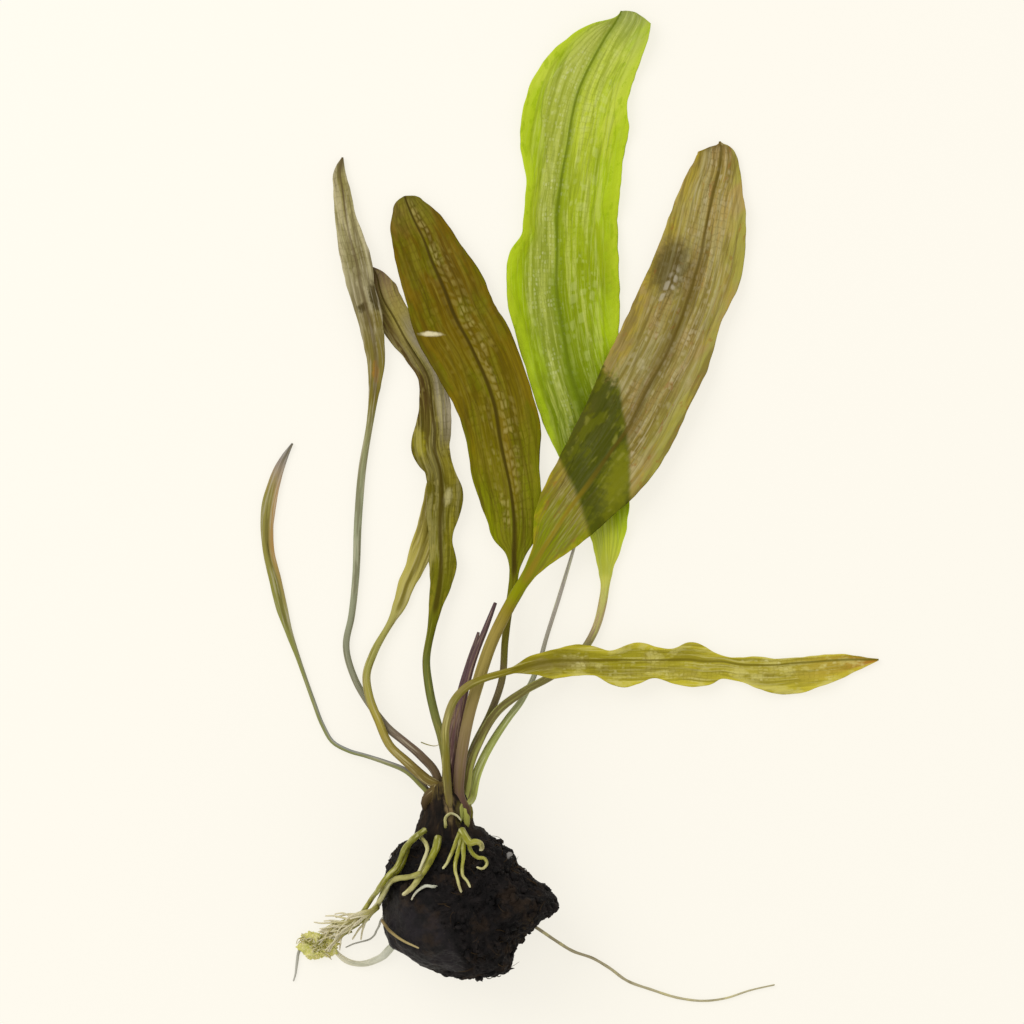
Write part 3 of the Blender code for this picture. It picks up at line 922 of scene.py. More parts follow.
@dataclass(frozen=True)
class Ground:
    """The surfaces that roots are laid over."""

    trees: tuple[BVHTree, ...]

    # How far above the table a sight line starts, how far around a root it looks, and
    # how far a root's underside is kept above what it lies on, in mm
    SKY = 100.0
    AROUND = 0.3
    REST = -0.25
    # Sight lines around each spot, the distance between spots in mm, and how many times
    # the heights are evened out
    SIGHTS = 8
    STEP = 2.0
    SMOOTHING = 6

    def top(self, x: float, y: float, reach: float) -> float | None:
        """Find the highest point near a spot.

        Args:
            x: the spot, in millimetres.
            y: the same.
            reach: how far around it to look.

        Returns:
            The height in millimetres, or None where nothing lies.
        """
        turns = [2 * math.pi * sight / self.SIGHTS for sight in range(self.SIGHTS)]
        spots = [(x, y), *((x + reach * math.cos(a), y + reach * math.sin(a)) for a in turns)]
        tops = []
        for spot in spots:
            start = Vector((*spot, self.SKY)) * MM
            for tree in self.trees:
                hit = tree.ray_cast(start, Vector((0, 0, -1)))[0]
                if hit is not None:
                    tops.append(hit.z / MM)
        return max(tops, default=None)

    def drape(self, rows: tuple[Point, ...], radius: float) -> Array:
        """Lay a route over what lies below it.

        Args:
            rows: the route's points (x, y, z).
            radius: half the thickness of what is laid.

        Returns:
            Points along the route, lifted clear of the surfaces.
        """
        route = Route(rows)
        length = route.knots()[-1]
        points = route.read(np.linspace(0, length, max(2, round(length / self.STEP)) + 1))
        lowest = points[:, 2].copy()
        for index, (x, y, z) in enumerate(points):
            top = self.top(x, y, radius + self.AROUND)
            if top is not None:
                lowest[index] = max(z, top + radius + self.REST)
        height = lowest.copy()
        for _ in range(self.SMOOTHING):
            padded = np.concatenate((height[:1], height, height[-1:]))
            height = np.maximum(lowest, (padded[:-2] + padded[1:-1] + padded[2:]) / 3)
        points[:, 2] = height
        return points


@dataclass(frozen=True)
class Strand:
    """A round strand that thins to a rounded tip.

    Attributes:
        radius: at its base, in millimetres.
        sides: corners of a ring.
        step: the distance between rings.
    """

    radius: float
    sides: int
    step: float

    # The share of the radius that is left at the tip
    TIP = 0.5
    # Rings of the rounded end, the angle it stops at, the room it takes and the point
    # that is left of it, in its own lengths
    END_RINGS = 4
    END_ANGLE = 0.15
    END_ROOM = 1.2
    END_POINT = 0.02
    # The size of the knobs in mm, and their height in radii
    KNOB_SIZE = 2.3
    KNOB_HEIGHT = 0.12

    def add(self, bm: Shape, points: Array) -> None:
        """Add the strand to a shape.

        Args:
            bm: where it goes.
            points: its route in millimetres.
        """
        route = Route(tuple(map(tuple, points)))
        length = route.knots()[-1]
        place = np.linspace(0, length, max(3, round(length / self.step)) + 1)
        cap = self.radius * self.TIP
        angles = np.linspace(math.pi / 2, self.END_ANGLE, self.END_RINGS)
        ends = length - cap * (1 - np.cos(angles))
        place = np.concatenate((place[place < length - cap * self.END_ROOM], np.sort(ends)))
        centres = route.read(place)
        share = place / length
        knob = np.array([noise.noise((*(c / self.KNOB_SIZE),)) for c in centres[:, :3]])
        thick = self.radius * (1 - (1 - self.TIP) * share ** 2) * (1 + self.KNOB_HEIGHT * knob)
        left = (length - place + self.END_POINT * cap) / cap
        thick *= np.sqrt(np.clip(left, self.END_POINT, 1))
        turn, outward = spokes(centres, self.sides)
        rings = centres[:, None] + thick[:, None, None] * outward
        ones = np.ones((len(place), self.sides))
        chart = charted(turn * self.radius * ones, place)
        rolled(bm, rings, {Trait.ALONG.value: share[:, None] * ones, CHART: chart})


@dataclass
class RootStrand(Piece):
    """One root, laid over the soil and over the roots below it.

    Attributes:
        radius: at its base, in millimetres.
        route: points (x, y, z) from its base.
        laid: whether it is lifted onto what lies below it.
    """

    radius: float
    route: tuple[Point, ...]
    laid: bool = True

    ENDING = "_strand"
    # Corners of a ring, and in mm the distance between rings and how far the foot runs
    # back and down into what it grows from
    SIDES = 12
    STEP = 0.5
    FOOT = 1.3

    def build(self, ground: Ground) -> Object:
        """Make the root.

        Args:
            ground: what it is laid over.

        Returns:
            The new object.
        """
        bm = bmesh.new()
        points = np.array(self.route)
        if self.laid:
            points = ground.drape(self.route, self.radius)
        back = (points[0] - points[1]) / np.linalg.norm(points[0] - points[1])
        foot = points[0] + back * self.FOOT + np.array((0, 0, -self.FOOT))
        foot[2] = max(foot[2], self.radius)
        points = np.vstack((foot, points))
        Strand(self.radius, self.SIDES, self.STEP).add(bm, points)
        return self.dress(bm)


@dataclass(frozen=True)
class Tuft:
    """Where fine roots spring from.

    Attributes:
        x: the middle of the tuft, in millimetres.
        y: the same.
        spread: how far from it they start.
        heading: which way they run, in degrees from X.
        fan: how far they turn from that way.
        count: how many there are.
        length: the shortest and the longest.
        radius: of each.
        curl: how far each turns from point to point, in degrees.
    """

    x: float
    y: float
    spread: float
    heading: float
    fan: float
    count: int
    length: tuple[float, float]
    radius: float
    curl: float


@dataclass
class FineRoots(Piece):
    """Thin side roots in loose tufts, laid over what is below them.

    Attributes:
        tufts: where they spring from.
        seed: starts the random draws.
    """

    tufts: tuple[Tuft, ...]
    seed: int = 5

    # Points of a root, corners of a ring, the distance between rings in mm, and how high
    # above the table a root starts
    POINTS = 9
    SIDES = 6
    STEP = 0.6
    START = 0.2

    def build(self, ground: Ground) -> Object:
        """Make all the tufts as one piece.

        Args:
            ground: what they are laid over.

        Returns:
            The new object.
        """
        draw = np.random.default_rng(self.seed)
        bm = bmesh.new()
        for tuft in self.tufts:
            for _ in range(tuft.count):
                turn, away = draw.uniform(0, 2 * math.pi), tuft.spread * math.sqrt(draw.random())
                spot = np.array([
                    tuft.x + away * math.cos(turn), tuft.y + away * math.sin(turn), self.START])
                heading = tuft.heading + draw.uniform(-tuft.fan, tuft.fan)
                leg = draw.uniform(*tuft.length) / (self.POINTS - 1)
                bend = draw.normal(0, tuft.curl)
                rows = []
                for _ in range(self.POINTS):
                    rows.append(tuple(spot))
                    way = math.radians(heading)
                    spot = spot + leg * np.array([math.cos(way), math.sin(way), 0])
                    heading += bend / 2 + draw.normal(0, 2 * tuft.curl)
                points = ground.drape(tuple(rows), tuft.radius)
                Strand(tuft.radius, self.SIDES, self.STEP).add(bm, points)
        return self.dress(bm)


@dataclass
class RootMat(Piece):
    """The lump that the ends of the left roots are matted into.

    Attributes:
        middle: its middle, in millimetres.
        reach: how far it reaches from there along X, Y and Z.
    """

    middle: Point
    reach: Point

    # Sizes of its lumps in mm and their heights, from coarse to fine, and how much they
    # show in all
    LUMPS = ((3.6, 0.32), (1.3, 0.2), (0.5, 0.1))
    RELIEF = 1.6
    # How often the ball is divided, and how far its underside stays off the table in mm
    DIVISIONS = 6
    FLOOR = 0.05

    def build(self) -> Object:
        """Make the lump.

        Returns:
            The new object.
        """
        bm = bmesh.new()
        bmesh.ops.create_icosphere(bm, subdivisions=self.DIVISIONS, radius=1.0)
        for vert in bm.verts:
            place = Vector(a * b for a, b in zip(vert.co, self.reach))
            swell = sum(part * noise.noise((place + Vector(self.middle)) / size)
                        for size, part in self.LUMPS)
            place = place * (1 + self.RELIEF * swell) + Vector(self.middle)
            place.z = max(place.z, self.FLOOR)
            vert.co = place * MM
        return self.dress(bm)


@dataclass
class TuberNeck(Piece):
    """The dark fibrous neck of the tuber, from the stalks down into the soil.

    Attributes:
        rows: points (x, y, z, radius) from the stalks down.
    """

    rows: tuple[Point, ...]

    ENDING = "_skin"
    # Corners of a ring, and the distance between rings in mm
    SIDES = 120
    STEP = 0.3
    # Size and height of the knobs, in mm
    KNOB_SIZE = 3.2
    KNOBS = 0.45
    # Height of the fibres in mm, how many there are around and how long they are, and the
    # layer of the noise that draws them
    FIBRES = 0.3
    FIBRE_TURNS = 5
    FIBRE_LENGTH = 7
    FIBRE_LAYER = 2.0
    FIBRE_SCALE = 1.6
    # Size of the grit in mm, and its height next to the fibres
    GRIT_SIZE = 0.8
    GRIT = 0.7
    # The radius that the chart of the skin is unrolled at, in mm
    CHART_RADIUS = 7

    def at(self, y: float) -> tuple[Vector, float]:
        """Measure the neck at a distance along Y.

        Args:
            y: the distance, in millimetres.

        Returns:
            Its middle and its radius there.
        """
        ys = [-row[1] for row in self.rows]
        x, z, radius = (np.interp(-y, ys, [row[k] for row in self.rows]) for k in (0, 2, 3))
        return Vector((x, y, z)), float(radius)

    def build(self) -> Object:
        """Make the neck.

        Returns:
            The new object.
        """
        route = Route(self.rows)
        length = route.knots()[-1]
        place = np.linspace(0, length, round(length / self.STEP) + 1)
        rows = route.read(place)
        centres = rows[:, :3]
        turn, outward = spokes(centres, self.SIDES)
        rings = centres[:, None] + outward * rows[:, 3][:, None, None]
        relief = np.zeros(rings.shape[:2])
        for ring in range(len(place)):
            for corner in range(self.SIDES):
                spot = Vector(rings[ring, corner])
                fibre = Vector((
                    turn[corner] * self.FIBRE_TURNS, place[ring] / self.FIBRE_LENGTH,
                    self.FIBRE_LAYER))
                relief[ring, corner] = (
                    self.KNOBS * noise.noise(spot / self.KNOB_SIZE)
                    + self.FIBRES * noise.noise(fibre * self.FIBRE_SCALE)
                    + self.FIBRES * self.GRIT * noise.noise(spot / self.GRIT_SIZE))
        rings = rings + outward * relief[..., None]
        ones = np.ones(rings.shape[:2])
        chart = charted(turn * self.CHART_RADIUS * ones, place)
        bm = bmesh.new()
        rolled(bm, rings, {Trait.ALONG.value: place[:, None] / length * ones, CHART: chart})
        return self.dress(bm)


@dataclass
class SoilPlug(Piece):
    """The plug of wet soil: crumbly all over, smooth where a pot pressed it.

    Attributes:
        fibre_finish: the surface of its fibres.
        middle: its middle, in millimetres.
        pressed: which way from there the smooth part lies.
        crumbs: how many loose crumbs lie on it.
        fibres: how many loose fibres.
        seed: starts the random draws.
    """

    fibre_finish: Finish
    middle: Point
    pressed: Point
    crumbs: int = 520
    fibres: int = 70
    seed: int = 11

    ENDING = "_crumbly"
    # Corners of the solid closer than this are one point, in metres
    WELD = 1e-6
    # How often an edge is divided, how often the shape is then smoothed, and how high
    # that starts, in mm
    CUTS = 5
    ROUNDS = 4
    FLAT = 0.2
    # Sizes and heights of the lumps, from coarse to fine, in mm, and how high their tops
    # and how deep the creases between them are, in that height
    LUMPS = ((5.2, 0.8), (2.4, 0.6), (1.1, 0.4), (0.55, 0.2))
    LUMP_TOP = 0.35
    CREASE = 2
    # How much of the lumps is gone where the plug is pressed
    PRESSED_FLAT = 0.6
    # Where the pressed part starts and over how much it comes, as cosines, and how far
    # and over what length in mm its rim wanders
    RIM_START = 0.72
    RIM_WIDTH = 0.12
    RIM_WANDER = 0.16
    RIM_LENGTH = 7.0
    # Where the wet sides have slumped in, or out if less than 0: which way from the
    # middle, how far in mm, and how narrow the dent is
    DENTS = (
        (Vector((-0.45, -0.89)), 0.7, 2), (Vector((0.74, -0.67)), 2.0, 18),
        (Vector((-0.7, -0.71)), -1.7, 14),
        (Vector((0.93, 0.37)), 2.4, 12), (Vector((0.4, -0.92)), -0.9, 40),
        (Vector((0.99, -0.1)), -1.2, 60))
    # How far from the middle the dents are whole, how far above the table the lumps are,
    # and where the search for a spot on the plug starts, in mm
    SIDE = 16
    FLOOR_FADE = 2.5
    OUTSIDE = 60
    # Crumbs: the least radius and how much more the largest has, the one from which they
    # are made rounder, how uneven their axes are, how far they are turned, the height and
    # fineness of their relief, how unlike each other they are, how far they sink in, and
    # how far they stay off the table
    CRUMB_LEAST = 0.3
    CRUMB_MORE = 1.0
    CRUMB_LARGE = 0.7
    CRUMB_AXES = (0.5, 1.5)
    CRUMB_TURN = 6
    CRUMB_RELIEF = 0.9
    CRUMB_LUMPS = 1.4
    CRUMB_UNLIKE = 3
    CRUMB_SINK = 0.1
    CRUMB_FLOOR = 0.02
    # Fibres: length and radius from least to most, how far they bend aside, how far they
    # stand off and arch, their points, how far they stay off the table, the corners of a
    # ring and the distance between rings
    FIBRE_LENGTH = (2.0, 5.5)
    FIBRE_RADIUS = (0.07, 0.16)
    FIBRE_BEND = 0.22
    FIBRE_OFF = 0.1
    FIBRE_ARCH = 0.5
    FIBRE_POINTS = 6
    FIBRE_FLOOR = 0.15
    FIBRE_SIDES = 5
    FIBRE_STEP = 0.8

    def pressed_at(self, place: Vector) -> float:
        """Tell how smooth the plug is at a place.

        Args:
            place: the place, in millimetres.

        Returns:
            A number from 0, rough, to 1, smooth.
        """
        out = (place - Vector(self.middle)).normalized().dot(Vector(self.pressed).normalized())
        patch = out + self.RIM_WANDER * noise.noise(place / self.RIM_LENGTH)
        return min(1.0, max(0.0, (patch - self.RIM_START) / self.RIM_WIDTH))

    def body(self) -> Object:
        """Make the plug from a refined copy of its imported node.

        Returns:
            The new object, in place of that node.
        """
        bm = bmesh.new()
        bm.from_mesh(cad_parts[self.name].data)
        bmesh.ops.remove_doubles(bm, verts=bm.verts, dist=self.WELD)
        bmesh.ops.subdivide_edges(bm, edges=bm.edges, cuts=self.CUTS, use_grid_fill=True)
        for _ in range(self.ROUNDS):
            bmesh.ops.smooth_vert(
                bm, verts=[v for v in bm.verts if v.co.z > self.FLAT * MM], factor=0.5,
                use_axis_x=True, use_axis_y=True, use_axis_z=True)
        bm.normal_update()
        layer = bm.verts.layers.float.new(Trait.PRESSED.value)
        moves = []
        for vert in bm.verts:
            place = vert.co / MM
            pressed = self.pressed_at(place)
            height = 0.0
            for size, lump in self.LUMPS:
                crease = self.CREASE * abs(noise.noise(place / size))
                height += lump * (self.LUMP_TOP - crease)
            height *= (1 - self.PRESSED_FLAT * pressed) * min(1, place.z / self.FLOOR_FADE)
            away = (place - Vector(self.middle)).to_2d()
            side = min(1, away.length / self.SIDE) ** 2
            for way, depth, narrow in self.DENTS:
                height -= side * depth * max(0, away.normalized().dot(way)) ** narrow
            vert[layer] = pressed
            moves.append(vert.normal * height * MM)
        for vert, move in zip(bm.verts, moves):
            vert.co += move
            vert.co.z = max(vert.co.z, 0.0)
        return self.dress(bm)

    def spots(self, tree: BVHTree, count: int, draw: np.random.Generator) -> list:
        """Choose spots on the rough part of the plug.

        Args:
            tree: the plug's surface.
            count: how many spots.
            draw: the random numbers.

        Returns:
            Pairs of a place and the direction out of the surface there.
        """
        found = []
        while len(found) < count:
            way = Vector(draw.normal(size=3))
            way.z = abs(way.z)
            way.normalize()
            start = (Vector(self.middle) + way * self.OUTSIDE) * MM
            hit, normal, _, _ = tree.ray_cast(start, -way)
            if hit is None or draw.random() < self.pressed_at(hit / MM):
                continue
            found.append((hit / MM, normal if normal.dot(way) > 0 else -normal))
        return found

    def loose_crumbs(self, tree: BVHTree, draw: np.random.Generator) -> Object:
        """Strew loose crumbs over the plug.

        Args:
            tree: the plug's surface.
            draw: the random numbers.

        Returns:
            The new object.
        """
        bm = bmesh.new()
        bm.verts.layers.float.new(Trait.PRESSED.value)
        for place, out in self.spots(tree, self.crumbs, draw):
            size = self.CRUMB_LEAST + self.CRUMB_MORE * draw.random() ** 4
            made = bmesh.ops.create_icosphere(
                bm, subdivisions=2 if size > self.CRUMB_LARGE else 1, radius=1.0)
            shape = Vector(draw.uniform(*self.CRUMB_AXES, 3)) * size
            turn = Matrix.Rotation(
                draw.uniform(0, self.CRUMB_TURN), 3, Vector(draw.normal(size=3)))
            for vert in made["verts"]:
                lump = noise.noise(vert.co * self.CRUMB_LUMPS + place * self.CRUMB_UNLIKE)
                local = turn @ Vector(a * b for a, b in zip(vert.co, shape))
                sunk = place - out * size * self.CRUMB_SINK
                spot = sunk + local * (1 + self.CRUMB_RELIEF * lump)
                vert.co = Vector((spot.x, spot.y, max(self.CRUMB_FLOOR, spot.z))) * MM
        return Piece("soil_crumbs", self.slot, self.finish).dress(bm)

    def loose_fibres(self, tree: BVHTree, draw: np.random.Generator) -> Object:
        """Lay loose fibres on the plug.

        Args:
            tree: the plug's surface.
            draw: the random numbers.

        Returns:
            The new object.
        """
        bm = bmesh.new()
        for place, out in self.spots(tree, self.fibres, draw):
            heading = Vector(draw.normal(size=3)).cross(out).normalized()
            length = draw.uniform(*self.FIBRE_LENGTH)
            bow = heading.cross(out) * draw.normal(0, self.FIBRE_BEND) * length
            points = []
            for t in np.linspace(0, 1, self.FIBRE_POINTS):
                arch = math.sin(math.pi * t)
                off = out * (self.FIBRE_OFF + self.FIBRE_ARCH * arch)
                points.append(place + off + heading * length * (t - 0.5) + bow * arch)
            points = np.array(points)
            points[:, 2] = np.maximum(points[:, 2], self.FIBRE_FLOOR)
            radius = draw.uniform(*self.FIBRE_RADIUS)
            Strand(radius, self.FIBRE_SIDES, self.FIBRE_STEP).add(bm, points)
        return Piece("soil_fibres", self.slot, self.fibre_finish).dress(bm)

    def build(self) -> list[Object]:
        """Make the plug, its loose crumbs and its fibres.

        Returns:
            The new objects.
        """
        draw = np.random.default_rng(self.seed)
        body = self.body()
        tree = surface_of(body)
        return [body, self.loose_crumbs(tree, draw), self.loose_fibres(tree, draw)]


@dataclass
class Studio:
    """The pale table, the soft lights and the camera straight above.

    Attributes:
        middle: the spot that the camera is above, in millimetres.
        height: the height of the camera.
        frame_width: the width of table that the picture shows.
    """

    middle: Point = (-16.08, -1.7)
    height: float = 1400.0
    frame_width: float = 286.72

    # The camera's sensor in mm, and how near and how far it sees, in metres
    SENSOR = 36.0
    CLIP = (0.01, 20.0)
    # The table: half its side in metres, how far it lies below the plant in mm, its
    # colour, how much of that is paint, and how brightly the table is lit from inside
    TABLE_SIZE = 3.0
    TABLE_DROP = 0.1
    TABLE = "#fffbf0"
    PAINT = 0.2
    MATT = 0.9
    GLOW = 0.775
    # The light of the room, and a soft lamp: its side in metres, its place and its power
    SKY = "#fffdf8"
    SKY_LIGHT = 0.84
    LAMP_SIZE = 0.9
    LAMP_PLACE = (-0.75, 0.55, 0.95)
    LAMP_POWER = 8.0

    def table(self) -> None:
        """Make the table top."""
        bm = bmesh.new()
        bmesh.ops.create_grid(bm, x_segments=1, y_segments=1, size=self.TABLE_SIZE)
        mesh = bpy.data.meshes.new("table_top")
        bm.to_mesh(mesh)
        bm.free()
        # A matt pale board lit from inside: even and bright, with only faint shadows on it
        material = bpy.data.materials.new("pale lit table")
        material.use_nodes = True
        shader = material.node_tree.nodes["Principled BSDF"]
        colour = linear(self.TABLE)
        paint = (*(self.PAINT * part for part in colour[:3]), 1)
        for name, value in (
                ("Base Color", paint), ("Roughness", self.MATT), ("Specular IOR Level", 0.0),
                ("Emission Color", colour), ("Emission Strength", self.GLOW)):
            shader.inputs[name].default_value = value
        mesh.materials.append(material)
        table = placed("table_top", mesh)
        table.location.z = -self.TABLE_DROP * MM

    def lights(self) -> None:
        """Make an even sky and one soft light from the upper left."""
        world = bpy.data.worlds.new("pale room")
        world.use_nodes = True
        sky = world.node_tree.nodes["Background"]
        sky.inputs["Color"].default_value = linear(self.SKY)
        sky.inputs["Strength"].default_value = self.SKY_LIGHT
        bpy.context.scene.world = world
        data = bpy.data.lights.new("soft_box", "AREA")
        data.size = self.LAMP_SIZE
        data.energy = self.LAMP_POWER
        lamp = placed("soft_box", data)
        lamp.location = Vector(self.LAMP_PLACE)
        lamp.rotation_euler = (-lamp.location).to_track_quat("-Z", "Y").to_euler()

    def camera(self) -> None:
        """Hang the camera straight above the plant."""
        data = bpy.data.cameras.new("camera")
        data.sensor_width = self.SENSOR
        data.lens = self.SENSOR * self.height / self.frame_width
        data.clip_start, data.clip_end = self.CLIP
        camera = placed("camera", data)
        camera.location = Vector((*self.middle, self.height)) * MM
        bpy.context.scene.camera = camera

    def build(self) -> None:
        """Set up the table, the lights and the camera."""
        self.table()
        self.lights()
        self.camera()
        view = bpy.context.scene.view_settings
        view.view_transform = "Standard"
        view.look = "None"


# Patterns of a blade, in the sizes of the real leaf: bands and streaks between the
# veins, and clouds, patches and flecks of colour. The grain of its skin is under 0.1 mm
# and is drawn at 0.5 mm, because nothing finer than 0.3 mm shows in the render; that of
# stalks, roots, tuber and soil is drawn at 0.3 to 0.5 mm for the same reason
STREAKS = Grain(1.0, 16, True)
FINE_STREAKS = Grain(0.55, 22, True, seed=5)
CLOUDS = Grain(7, 2.5, True, seed=2)
PATCHES = Grain(3.2, 2.2, True, seed=11)
BANDS = Grain(1.9, 12, True, seed=17)
FLECKS = Grain(1.7, 2.2, True, seed=23)
LEAF_GRAIN = (Grain(0.5, 3, True), 0.05)

ALONG, EDGE, RIGHT, MIDRIB, VEIN, WINDOW, OVERLAP_SHADE, PRESSED = Trait


def net_coats(
    cell: tuple[float, float], dark: str, pale: str, share: float, *where: Where
) -> tuple[Coat, ...]:
    """Make the coats that draw the finest net of a blade.

    Args:
        cell: the width of a cell in millimetres, and how many times as long it is.
        dark: the colour of the cells' walls.
        pale: the colour of the pale cells.
        share: the share of the cells that are pale.
        where: the part of the blade that shows the net.

    Returns:
        The coat of the pale cells and that of the walls.
    """
    walls, lots = Cells(*cell, True), Cells(*cell, True, part=CellPart.LOT)
    return (
        coat(pale, 0.5, (lots, 0.95 - share, 1.35 - share), (walls, 0.0, 0.4),
             (PATCHES, 0.35, 0.62), *where),
        coat(dark, 0.22, (walls, 0.17, 0.03), (CLOUDS, 0.35, 0.6), *where),
    )


# A young blade: thin, wet and bright, its margin brightest where the light comes through
GREEN_BLADE = Finish(
    "young green leaf",
    ((0.0, "#241a13"), (0.05, "#6c6238"), (0.1, "#7c7040"), (0.3, "#857c48"), (0.4, "#8c8458"),
     (0.44, "#b0917a"), (0.48, "#b8a868"), (0.505, "#c6c452"), (0.54, "#cbd53c"),
     (0.575, "#8fa20e"), (0.61, "#677900"), (0.69, "#82960a"), (0.78, "#98aa0c"),
     (0.9, "#c2d03c"), (0.97, "#c3cf52"), (1.0, "#98a05c")),
    (
        coat("#a9c40a", 0.7, (CLOUDS, 0.4, 0.56), (EDGE, 0.3, 0.75), (ALONG, 0.52, 0.56)),
        coat("#c2d430", 0.6, (EDGE, 0.7, 1.0), (ALONG, 0.54, 0.6)),
        coat("#98b400", 0.45, (FLECKS, 0.56, 0.62), (EDGE, 0.3, 0.7), (ALONG, 0.54, 0.6)),
        coat("#989d4c", 0.5, (RIGHT, 0.5, 0.44), (RIGHT, 0.14, 0.3), (ALONG, 0.6, 0.74)),
        coat("#cbd26a", 0.5, (BANDS, 0.5, 0.6), (EDGE, 0.95, 0.6)),
        coat("#7d8c0e", 0.4, (BANDS, 0.47, 0.36), (EDGE, 0.95, 0.6), (ALONG, 0.54, 0.6)),
        coat("#76841a", 0.4, (STREAKS, 0.5, 0.66), (EDGE, 0.95, 0.6), (ALONG, 0.52, 0.6)),
        coat("#cdd774", 0.35, (FINE_STREAKS, 0.5, 0.66), (EDGE, 0.95, 0.6)),
        coat("#d3d98a", 0.25, (WINDOW, 0.2, 0.9), (ALONG, 0.56, 0.62), (EDGE, 0.75, 0.5)),
        coat("#8a961c", 0.35, (VEIN, 0.3, 0.95), (EDGE, 1.0, 0.7)),
        *net_coats((0.75, 1.6), "#6f7a24", "#dadca8", 0.5, (RIGHT, 0.56, 0.5),
                   (RIGHT, 0.2, 0.32), (ALONG, 0.58, 0.7)),
        *net_coats((0.85, 2.0), "#7f8b24", "#cfd784", 0.25, (RIGHT, 0.5, 0.56),
                   (RIGHT, 0.85, 0.7), (ALONG, 0.58, 0.66)),
        coat("#738404", 0.55, (EDGE, 0.4, 0.08), (ALONG, 0.55, 0.62), (ALONG, 0.78, 0.66)),
        coat("#748a08", 0.4, (EDGE, 0.16, 0.04), (ALONG, 0.54, 0.6)),
        coat("#66760c", 0.78, (MIDRIB, 0.35, 1.0), (ALONG, 0.53, 0.6)),
    ),
    roughness=0.42, lit_through=0.2, bump=LEAF_GRAIN)

# An older blade: gold over olive, rosy between the veins, with painted shade where it lies over
# the green leaf
TAN_BLADE = Finish(
    "ageing tan leaf",
    ((0.0, "#2a1e18"), (0.04, "#5c443a"), (0.12, "#806a54"), (0.3, "#9a8a4c"),
     (0.42, "#9a8840"), (0.47, "#8c7d20"), (0.5, "#868804"), (0.57, "#7d8600"),
     (0.62, "#85800c"), (0.68, "#8f8330"), (0.76, "#8d8040"), (0.82, "#988a42"),
     (0.92, "#ab9e4c"), (0.985, "#a58f48"), (1.0, "#57482a")),
    (
        coat("#b0925c", 0.5, (CLOUDS, 0.42, 0.6), (ALONG, 0.58, 0.66)),
        coat("#b09c20", 0.55, (PATCHES, 0.42, 0.58), (EDGE, 0.5, 0.9)),
        coat("#675a2c", 0.8, (Spot(28, 67, 15, 21, 20), 1.5, 0.8)),
        coat("#a4a24e", 0.6, (RIGHT, 0.7, 0.95), (ALONG, 0.6, 0.66), (CLOUDS, 0.6, 0.45)),
        coat("#a8a06c", 0.55, (BANDS, 0.5, 0.6), (EDGE, 1.0, 0.6), (ALONG, 0.56, 0.66)),
        coat("#74632a", 0.6, (BANDS, 0.48, 0.36), (ALONG, 0.54, 0.64)),
        coat("#6d5f28", 0.45, (STREAKS, 0.48, 0.64), (EDGE, 1.0, 0.7)),
        coat("#c6ba92", 0.4, (FINE_STREAKS, 0.5, 0.66), (EDGE, 0.95, 0.5), (ALONG, 0.52, 0.64)),
        coat("#95602a", 0.45, (FLECKS, 0.6, 0.7), (ALONG, 0.52, 0.6)),
        coat("#c9c09c", 0.22, (WINDOW, 0.2, 0.9), (ALONG, 0.56, 0.66), (EDGE, 0.8, 0.6)),
        coat("#6b5c2a", 0.3, (VEIN, 0.3, 0.95), (EDGE, 1.0, 0.7)),
        *net_coats((1.1, 1.7), "#4c4018", "#c3b893", 0.4, (EDGE, 0.7, 0.4), (ALONG, 0.58, 0.66)),
        coat("#4a3f1c", 0.5, (Spot(28.5, 66, 13, 21, 20), 1.5, 0.8)),
        coat("#5c4a1a", 0.5, (EDGE, 0.24, 0.06), (ALONG, 0.6, 0.68), (ALONG, 0.95, 0.85)),
        coat("#c3bba6", 0.45, (Spot(27.5, 62, 8, 17, 20), 1.4, 0.8), (WINDOW, 0.1, 0.8)),
        # Painted shade where the blade lies over the green leaf: darker and greener there
        coat("#3d4600", 0.88, (OVERLAP_SHADE, 0.1, 0.8), (Spot(13.5, 43.5, 10, 20), 1.1, 1.6)),
        coat("#666a08", 0.6, (OVERLAP_SHADE, 0.1, 0.8), (PATCHES, 0.46, 0.6)),
        coat("#7f8010", 0.7, (OVERLAP_SHADE, 0.1, 0.8), (Spot(13.5, 7.5, 11, 24, 18), 1.6, 0.7)),
        coat("#8c8a3a", 0.5, (OVERLAP_SHADE, 0.1, 0.8), (WINDOW, 0.2, 0.9), (PATCHES, 0.44, 0.58)),
        coat("#8f7a1c", 0.75, (MIDRIB, 0.4, 1.0), (ALONG, 0.47, 0.5), (ALONG, 0.68, 0.6)),
        coat("#5c4c10", 0.75, (MIDRIB, 0.4, 1.0), (ALONG, 0.6, 0.68)),
    ),
    roughness=0.45, lit_through=0.12, bump=LEAF_GRAIN)

